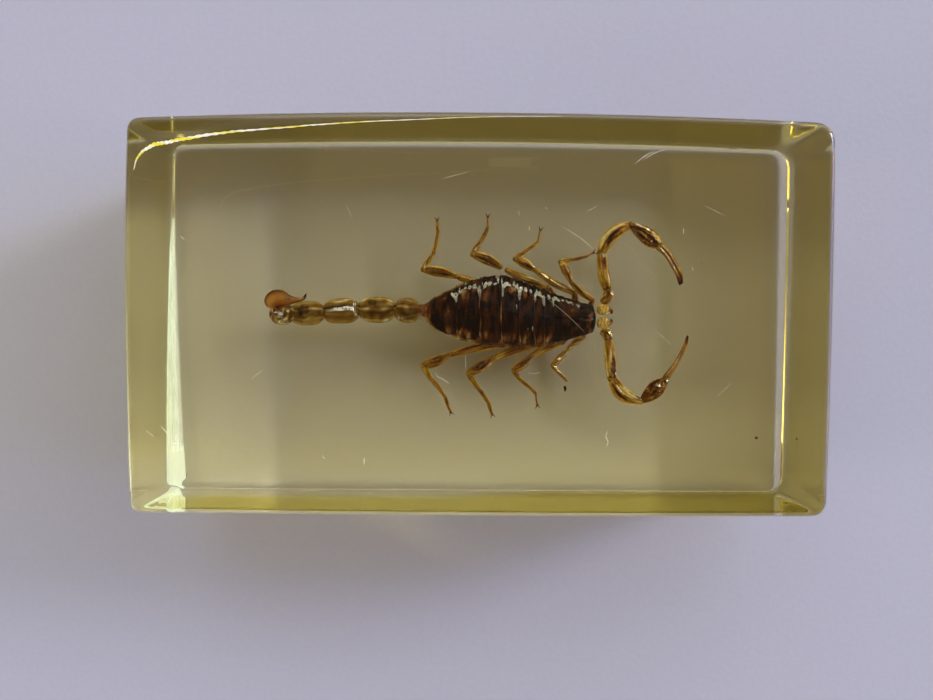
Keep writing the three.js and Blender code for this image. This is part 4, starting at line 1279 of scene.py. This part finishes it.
# %% Distance inside a plate, its lip and its arch
PLATE_EDGES = [-5.2, -2.3, 0.3, 2.6, 4.6, 6.2, 7.3, 8.3]
LIP_STRENGTH = [0.6, 0.85, 0.95, 0.95, 0.85, 0.8, 0.45]
SHIELD_START = (8.28, 8.45)
side_reach = half_width * np.abs(across)
plate_half = half_width * np.where(across > 0, 0.74, 0.90)
inside = np.full(X.shape, -1.0)
lip, arch = np.zeros(X.shape), np.zeros(X.shape)
for i, (start, end) in enumerate(zip(PLATE_EDGES, PLATE_EDGES[1:])):
    rear_edge = start - 0.10 * (1 - across**2) + 0.12 * across**2 + 0.05 * grain(410 + i, 0 * X, A, 7, 0)
    front_edge = end + 0.05
    round_by = min(1.0, (end - start) * 0.42)
    dx = np.abs(X - (rear_edge + front_edge) / 2) - ((front_edge - rear_edge) / 2 - round_by)
    dy = side_reach - (plate_half - round_by)
    depth = round_by - np.hypot(np.maximum(dx, 0), np.maximum(dy, 0)) - np.minimum(np.maximum(dx, dy), 0)
    inside = np.maximum(inside, np.where(back, depth, -1.0))
    share = np.clip((X - start) / (end - start), 0, 1)
    within = (X >= start - 0.12) & (X < end)
    arch = np.where(within, 0.16 * (1 - share) ** 1.5 - 0.05 * bell(share, 0.97, 0.06), arch)
    worn = np.maximum(smooth(grain(420 + i, 0 * X, A, 9, 0), -0.6, 0.9), smooth(np.abs(across), 0.45, 0.7))
    width = 0.35 + 0.65 * worn
    welt = bell(X, rear_edge + 0.06, 0.045 + 0.02 * width) * (depth > -0.05) * back
    lip = np.maximum(lip, LIP_STRENGTH[i] * width * welt)
shield = smooth(X, *SHIELD_START) * back
inside = np.where(shield > 0.5, np.maximum(inside, np.minimum(plate_half * 1.02 - side_reach, 0.5)), inside)
print("share of the back under plates:", round(float((inside[back] > 0).mean()), 2))

# %% [markdown]
# ## The relief of the back
#
# The plates stand a sixth of a millimetre proud and arch up towards their rear edges. The head shield has
# a furrow along its middle, a mound with the two main eyes, and two brow ridges. All of it is moved out
# along the body's own normals, so it reads from the side too, which a bump in the finish wouldn't.

# %% Plates, furrow, mound, brows, keel, dents and folds
SHIELD_MIDDLE = -0.25
EYES_X = 10.9
off_middle = Y - SHIELD_MIDDLE
height_field = 0.17 * smooth(inside, -0.04, 0.10) + arch * back
height_field -= 0.22 * shield * bell(off_middle, 0.0, 0.16) * smooth(np.abs(X - EYES_X), 0.3, 0.8)
height_field += 0.40 * shield * bell(X, EYES_X + 0.05, 0.62) * bell(off_middle, 0, 0.48)
height_field += 0.10 * shield * bell(np.abs(off_middle), 0.75, 0.2) * smooth(X, 9.2, 10.2)
height_field += 0.05 * (1 - shield) * back * bell(Y - middle_y, 0, 0.12) * smooth(inside, 0.1, 0.3)
height_field += 0.05 * grain(400, X / 8, A, 9, 6, 9) * smooth(inside, 0.05, 0.5)
height_field += 0.03 * (inside < 0) * np.sin(2 * math.pi * X / 0.9 + 2 * grain(401, X / 8, A, 3, 2))
BODY_SUNK = 0.16  # the soft skin lies this far below the sections
normal = unit(np.stack([np.zeros(X.shape), across / half_width, lift / rise], axis=-1))
trunk_rings = np.stack([X, Y, Z], axis=-1) + normal * (height_field - BODY_SUNK)[..., None]
print("relief:", round(height_field.min(), 2), "to", round(height_field.max(), 2), "mm")

# %% [markdown]
# ## The colours of the back
#
# The plates are nearly black, with brown patches where the dried flesh has drawn away beneath them, more
# of them towards the flanks. Lips, the waist and the underside are paler. A few large patches are placed
# one by one, since their size and place is what tells one specimen from another: each is its middle, its
# half length and half width, and how much paler it is.

# %% Tones of the trunk
PATCHES = [
    (-1.3, 2.3, 0.6, 0.8, 0.34), (0.9, 2.2, 0.7, 0.7, 0.28), (3.6, 2.9, 0.6, 0.45, 0.46),
    (5.2, 2.5, 0.35, 0.6, 0.46), (-1.6, -1.8, 1.1, 0.6, 0.30), (0.9, -2.2, 0.8, 0.5, 0.18),
    (3.5, -2.3, 0.7, 0.6, 0.20), (5.5, -1.9, 0.35, 0.5, 0.30), (1.0, 0.3, 0.5, 0.5, 0.18),
    (-3.4, 0.4, 0.7, 0.8, 0.20), (6.7, 1.0, 0.3, 0.9, 0.16),
]
patches = smooth(grain(402, X / 5, A, 6, 7, 9), -0.2, 1.1)
low_patches = smooth(grain(405, X / 4, A, 3, 5, 7), -0.3, 0.7) * smooth(-across, 0.5, 0.75)
flank = smooth(np.abs(across), 0.40, 0.75)
waist = 1 - smooth(X, -5.9, -4.7)
rim = smooth(np.abs(across), 0.82, 0.97) * (1 - smooth(X, -3.0, 0.5)) * back
tone = 0.02 + 0.16 * patches + 0.42 * patches * flank * smooth(inside, 0.05, 0.3) * (1 - shield)
for i, (at_x, at_y, long, wide, paler) in enumerate(PATCHES):
    away = np.hypot((X - at_x) / long, (Y - at_y) / wide) + 0.25 * grain(430 + i, X / 3, A, 9, 7, 9)
    tone = tone + paler * (1 - smooth(away, 0.5, 1.2)) * back
tone = tone + 0.24 * low_patches * (1 - shield) * smooth(X, -4.5, -2.8) + 0.06 * grain(406, X / 2, A, 9, 4)
tone = tone + 0.85 * lip + 0.60 * waist + 0.62 * rim + 0.25 * (1 - back)
tone = tone + 0.30 * (inside < -0.05) * (across < -0.5)
tone = tone + 0.30 * shield * bell(Y, 0.75, 0.55) * bell(X, 10.4, 0.75)
tone = tone + 0.30 * shield * smooth(X, 11.4, 12.4) * patches
print("tone:", round(tone.min(), 2), "to", round(tone.max(), 2))

# %% [markdown]
# ## Air under the back's left flank
#
# When a specimen is cast, air creeps under the edges of its plates and stays there as silver film. Here
# it lies along the left flank, in torn blots that follow the rims of the plates, and as single specks and
# slivers elsewhere. A wide grey halo round those rims is painted sheen, and the film's pale grey colour
# is painted reflection.

# %% Glints of the trunk, its eyes, and the piece
# Slivers of air: their middle and how far they reach along and across the body, and how bright they are.
SLIVERS = [(4.25, 1.0, 0.10, 0.35, 0.9), (6.0, -1.3, 0.09, 0.35, 0.8), (5.5, -1.3, 0.10, 0.13, 0.7)]
EYES_Y = (-0.49, -0.01)
upper = smooth(across, 0.25, 0.5) * back * smooth(X, -3.6, -2.4) * (1 - smooth(X, 9.0, 11.0))
film = smooth(grain(403, X / 4, A, 7, 8, 9), -0.7, 0.5)
glint = bell(inside, -0.02, 0.10 + 0.16 * film) * upper * (0.40 + 0.60 * film)
# A wide grey halo round the rims of the plates: painted sheen.
glint = glint + 0.40 * bell(inside, -0.05, 0.30) * upper * film
glint = glint + (0.46 + 0.30 * smooth(-across, 0.5, 0.9)) * lip
glint = glint + 0.8 * (inside < 0.0) * upper * smooth(grain(404, X / 3, A, 9, 9, 9), 0.7, 1.3)
shield_film = smooth(grain(407, X / 2, A, 9, 6), -1.0, 0.8)
glint = glint + 0.62 * shield * shield_film * bell(Y, 1.25, 0.40) * bell(X, 10.9, 0.7)
glint = glint + 0.9 * bell(X, 12.6, 0.12) * bell(Y, -0.2, 0.12) * back
for at_x, at_y, long, wide, bright in SLIVERS:
    glint = glint + bright * bell(X, at_x, long) * bell(Y, at_y, wide)
trunk = Shape()
trunk.add(trunk_rings, tone, glint)
for y in EYES_Y:
    eye = [(EYES_X, y, 11.62), (EYES_X + 0.22, y, 11.68), (EYES_X + 0.44, y, 11.62)]
    rings, t, a = tube(eye, (0.14, 0.17, 0.14), 1.0, 24, 16, cap=0.5)
    trunk.add(rings, -0.1)
trunk.place("trunk_plates", BACK_SHELL, "back_shell", "body")

# %% [markdown]
# ## The glowing edge
#
# A bright strip of light runs along the worn left base edge. A film thinner than a hair lies just inside
# it and glows, as painted light for that strip: faint on the bevel, denser on the wall above it and
# round the front corner, and drawn out in fine lines along the edge. Roughness on the block itself would
# cloud all of it, so the film is a piece of its own, with an alpha that follows its painted tone.

# %% A pale film that glows
EDGE_GLOW_FINISH = Finish("painted_edge_glow")
lines = EDGE_GLOW_FINISH.noise(EDGE_GLOW_FINISH.place(), 2.4, detail=4, roughness=0.6, stretch=(3.0, 0.10, 3.0))
light_lines = lines.ramp(0.3, 0.7)
# Painted light: the film's pale colour and its glow stand for the bright strip along the edge.
EDGE_GLOW_FINISH.principled(
    Base_Color=EDGE_GLOW_FINISH.mix(light_lines, (0.66, 0.70, 0.66), (0.94, 0.97, 0.97)),
    Roughness=0.5,
    IOR=1.45,
    Alpha=(EDGE_GLOW_FINISH.painted("tone") * (0.55 + 0.9 * lines)).smaller(1.0),
    Emission_Color=EDGE_GLOW_FINISH.mix(light_lines, (0.44, 0.55, 0.60), (0.66, 0.84, 0.95)),
    Emission_Strength=0.75,
)
print("sanded resin has", len(EDGE_GLOW_FINISH.tree.nodes), "nodes")

# %% [markdown]
# ## The film's form
#
# The film follows the bevel's own profile and then the wall, as a thin closed sheet with one ring of
# corners for each point of the outline that it covers: the left side, and the first millimetre and a half
# of the front.

# %% A glowing film along the left base edge
FILM_FACES = (0.03, 0.05)  # how far inside the resin the film's two faces lie
FILM_FOOT = 0.05  # its height above the base
FILM_FRONT_END = -35.1  # where it ends along the front
FILM_PROFILE = BEVEL_PROFILE[1:-1] + [(0, 1.1), (0, 1.8), (0, 2.75)]


def film_covers(i):
    (x, y), to_right = OUTLINE[i], outward[i, 0]
    return to_right < (-0.95 if y > 0 else -0.5) or (y < 0 and x < FILM_FRONT_END)


film_rings, film_tones = [], []
for i in filter(film_covers, range(len(OUTLINE))):
    towards_front = -OUTLINE[i, 1]
    bevel_size = max(bevel[i], 0.35 * (towards_front > 0))
    outer, inner = [], []
    for inset, rise in FILM_PROFILE:
        height = FILM_FOOT + rise * bevel_size * bevel_steepness[i]
        for face, depth in zip((outer, inner), FILM_FACES):
            face.append((*(OUTLINE[i] - outward[i] * (inset * bevel[i] + depth)), height))
    film_rings.append(outer + inner[::-1])
    corner = smooth(towards_front, 15.0, 16.6)
    fade = (0.08 + 0.92 * smooth(towards_front, -13, -3)) * (1 - corner)
    tones = [fade * (0.22 if inset > 0 else 0.85) + 0.95 * corner for inset, _ in FILM_PROFILE]
    film_tones.append(tones + tones[::-1])
edge_glow = Shape()
edge_glow.add(np.array(film_rings), np.array(film_tones))
edge_glow.place("edge_glow_film", EDGE_GLOW_FINISH.material, "resin")

# %% [markdown]
# ## The highlight along the crease
#
# A painted highlight follows the worn crease: the bright line where the crease catches the light,
# twisted like a cord. It is a flat tube with a two-lobed twist, just under the top face, and its tone turns
# slowly from lemon yellow to white. A little glow of its own keeps it as bright as a highlight.

# %% The painted highlight along the crease
MARK_DEPTH = 0.06  # how far under the top face a mark lies


def under_top(points, depth=MARK_DEPTH):
    return [np.array([x, y, HEIGHT - depth]) for x, y in points]


# Painted highlight: pale yellow and white colours that glow a little.
HIGHLIGHT_FINISH = Finish("crease_highlight_paint")
cord_noise = HIGHLIGHT_FINISH.noise(HIGHLIGHT_FINISH.place(), 3.0, detail=4)
cord_white = (HIGHLIGHT_FINISH.painted("tone") + 0.3 * (cord_noise - 0.5)).ramp(0.35, 0.65)
HIGHLIGHT_FINISH.principled(
    Base_Color=HIGHLIGHT_FINISH.mix(cord_white, (0.95, 0.84, 0.03), (1.0, 1.0, 0.96)),
    Roughness=0.30 + 0.25 * cord_noise,
    IOR=1.5,
    Emission_Color=HIGHLIGHT_FINISH.mix(cord_white, (0.95, 0.82, 0.03), (1.0, 1.0, 0.94)),
    Emission_Strength=0.55,
)
HIGHLIGHT_ROUTE = [
    (-35.3, 14.69), (-34.79, 16.12), (-33.46, 17.14), (-31.93, 17.45), (-29.79, 17.9), (-26.63, 18.39),
    (-23.36, 18.71), (-18.37, 19.14), (-14.49, 19.42), (-7.86, 19.74), (0.3, 20.05), (8.46, 20.1),
]
HIGHLIGHT_RADII = [0.03, 0.09, 0.16, 0.15, 0.14, 0.11, 0.08, 0.06, 0.05, 0.035, 0.02, 0.01]
HIGHLIGHT_DEPTH = MARK_DEPTH + 0.16
TWISTS = 40
COLOUR_TURNS = 7.5


def strands(t, a):
    return 0.35 * np.cos(2 * a + 2 * math.pi * TWISTS * t) + 0.25 * grain(500, t, a, 1, 30, 9)


rings, t, a = tube(under_top(HIGHLIGHT_ROUTE, HIGHLIGHT_DEPTH), HIGHLIGHT_RADII, 0.45, 20, 900, strands, 0.01)
paint = 0.5 + 0.9 * np.sin(2 * math.pi * COLOUR_TURNS * t + 0.6 + 1.5 * np.cos(a))
paint = paint + 0.3 * grain(501, t, a, 1, 25) + 0.4 * smooth(t, 0.3, 0.6)
painted_highlight = Shape()
painted_highlight.add(rings, paint)
painted_highlight.place("painted_crease_highlight", HIGHLIGHT_FINISH.material, "resin")

# %% [markdown]
# ## Scratches and threads
#
# The block has been handled, so its top carries hair scratches, and a few threads were caught in the
# resin when it was cast. Both are fine enough to model as slivers sunk just below the top face, where
# light catches them from above, and they glow a little, a painted highlight. The first scratch is the
# long dark one over the head.

# %% Slivers under the top face
SCUFF_AND_GLOW = Finish("scuffs_with_painted_glow")
scuff_noise = SCUFF_AND_GLOW.noise(SCUFF_AND_GLOW.place(), 2.5, detail=4)
scuff_light = (SCUFF_AND_GLOW.painted("tone") + scuff_noise - 0.5).ramp(0.2, 0.8)
scuff_colour = SCUFF_AND_GLOW.mix(scuff_light, (0.26, 0.22, 0.12), (0.98, 0.98, 0.90))
# The scratches and threads glow a little: a painted highlight.
SCUFF_AND_GLOW.principled(
    Base_Color=scuff_colour,
    Roughness=0.35 + 0.3 * scuff_noise,
    IOR=1.45,
    Emission_Color=scuff_colour,
    Emission_Strength=0.25,
)
SCRATCHES = [  # each one's width and its points
    (0.06, [(7.1, 1.74), (9.07, 0.11), (10.99, -1.73)]),
    (0.07, [(8.46, 9.08), (10.4, 7.86), (11.72, 6.74)]),
    (0.07, [(15.8, 15.3), (16.82, 16.12), (17.84, 16.63)]),
    (0.07, [(16.62, 15.71), (17.84, 16.43), (19.07, 16.83)]),
    (0.09, [(13.36, -11.73), (13.2, -12.34), (13.41, -12.85), (13.25, -13.36)]),
    (0.11, [(-11.53, -14.68), (-11.53, -15.4)]), (0.08, [(4.12, 10.61), (4.23, 10.1)]),
    (0.08, [(5.2, 9.08), (5.25, 8.57)]), (0.07, [(6.83, 10.97), (7.03, 10.76)]),
    (0.09, [(20.8, 8.88), (20.8, 8.27)]), (0.08, [(21.72, 5), (21.82, 4.49)]),
    (0.07, [(11.01, 10.51), (12.13, 11.12)]), (0.1, [(-15.82, -14.48), (-15.61, -14.89)]),
    (0.09, [(-30.5, 7.96), (-29.99, 7.55)]), (0.09, [(-34.07, -12.13), (-33.36, -12.64)]),
    (0.09, [(-32.54, -11.62), (-31.93, -12.34)]), (0.04, [(22.74, 11.22), (24.98, 10.1)]),
    (0.04, [(-23.16, -6.63), (-21.94, -5.71)]), (0.04, [(18.15, -1.53), (19.88, -3.06)]),
    (0.04, [(-3.78, 13.77), (-0.72, 14.59)]), (0.04, [(-13.47, 11.22), (-12.76, 9.8)]),
    (0.04, [(24.37, -8.16), (25.9, -6.73)]),
]
THREADS = [
    [(-4.24, -5.81), (-4.04, -6.32), (-3.63, -6.52), (-3.27, -6.73), (-2.86, -7.03)],
    [(5.2, -5.86), (5.81, -5.96), (6.52, -5.81)],
    [(-1.16, -4.08), (-1.17, -4.79), (-1.14, -5.5)],
]
THREAD_DEPTH = MARK_DEPTH + 0.4
scratches = Shape()
for i, (width, points) in enumerate(SCRATCHES):
    rings, t, a = tube(under_top(points), [width * 0.3, width * 0.5, width * 0.3], 0.15, 8, 30, cap=0.3)
    scratches.add(rings, (0.1 if i == 0 else 0.75) + 0.15 * grain(510 + i, t, a, 2, 4))
for i, points in enumerate(THREADS):
    longest = i == 0  # the first thread is thicker, and paler towards its end
    radii = [0.015, 0.034 if longest else 0.022, 0.03]
    rings, t, a = tube(under_top(points, THREAD_DEPTH), radii, 1.0, 8, 40)
    scratches.add(rings, 0.7 + 0.5 * t * longest)
scratches.place("top_scratches", SCUFF_AND_GLOW.material, "resin")

# %% [markdown]
# ## Dust
#
# Specks of dust sit in the resin just below the top, where it was poured last. A few are large enough to
# be placed one by one. The rest are strewn by a seeded draw. Each speck is a short lumpy tube that lies
# at its own angle.

# %% Specks in the resin
DUST = Finish("dust")
dust_noise = DUST.noise(DUST.place(), 5.0, detail=4)
dust_colour = DUST.mix(dust_noise, (0.03, 0.02, 0.01), (0.16, 0.10, 0.05))
DUST.principled(Base_Color=dust_colour, Roughness=0.8, IOR=1.45)
SPECK_COUNT = 70
SPECK_SIZES = (0.012, 0.03)
SPECKS_FROM_LEFT, SPECKS_FROM_BACK = (-33.36, 33.96), (-16.834, 16.826)
specks = [  # place and half length
    (28.45, -12.34, 0.17), (32.53, -12.44, 0.12), (-15.71, -14.68, 0.07), (-4.19, -6.52, 0.05),
    (22.74, 5.41, 0.05), (-23.67, 1.53, 0.05),
]
random = np.random.default_rng(21)
for _ in range(SPECK_COUNT):
    x, y = random.uniform(*SPECKS_FROM_LEFT), -random.uniform(*SPECKS_FROM_BACK)
    specks.append((x, y, random.uniform(*SPECK_SIZES)))
dust = Shape()
for i, (x, y, size) in enumerate(specks):
    middle = under_top([(x, y)], MARK_DEPTH + random.uniform(0.05, 0.4))[0]
    turn = random.uniform(0, math.pi)
    reach = np.array([math.cos(turn), math.sin(turn), 0]) * size
    radii = [size * 0.5, size * 0.7, size * 0.4]

    def lumps(t, a, i=i):
        return 0.3 * grain(530 + i, t, a, 3, 2)

    rings, t, a = tube([middle - reach, middle, middle + reach], radii, 0.5, 8, 8, lumps, 0.3)
    dust.add(rings, 0.3)
dust.place("dust_and_threads", DUST.material, "resin")
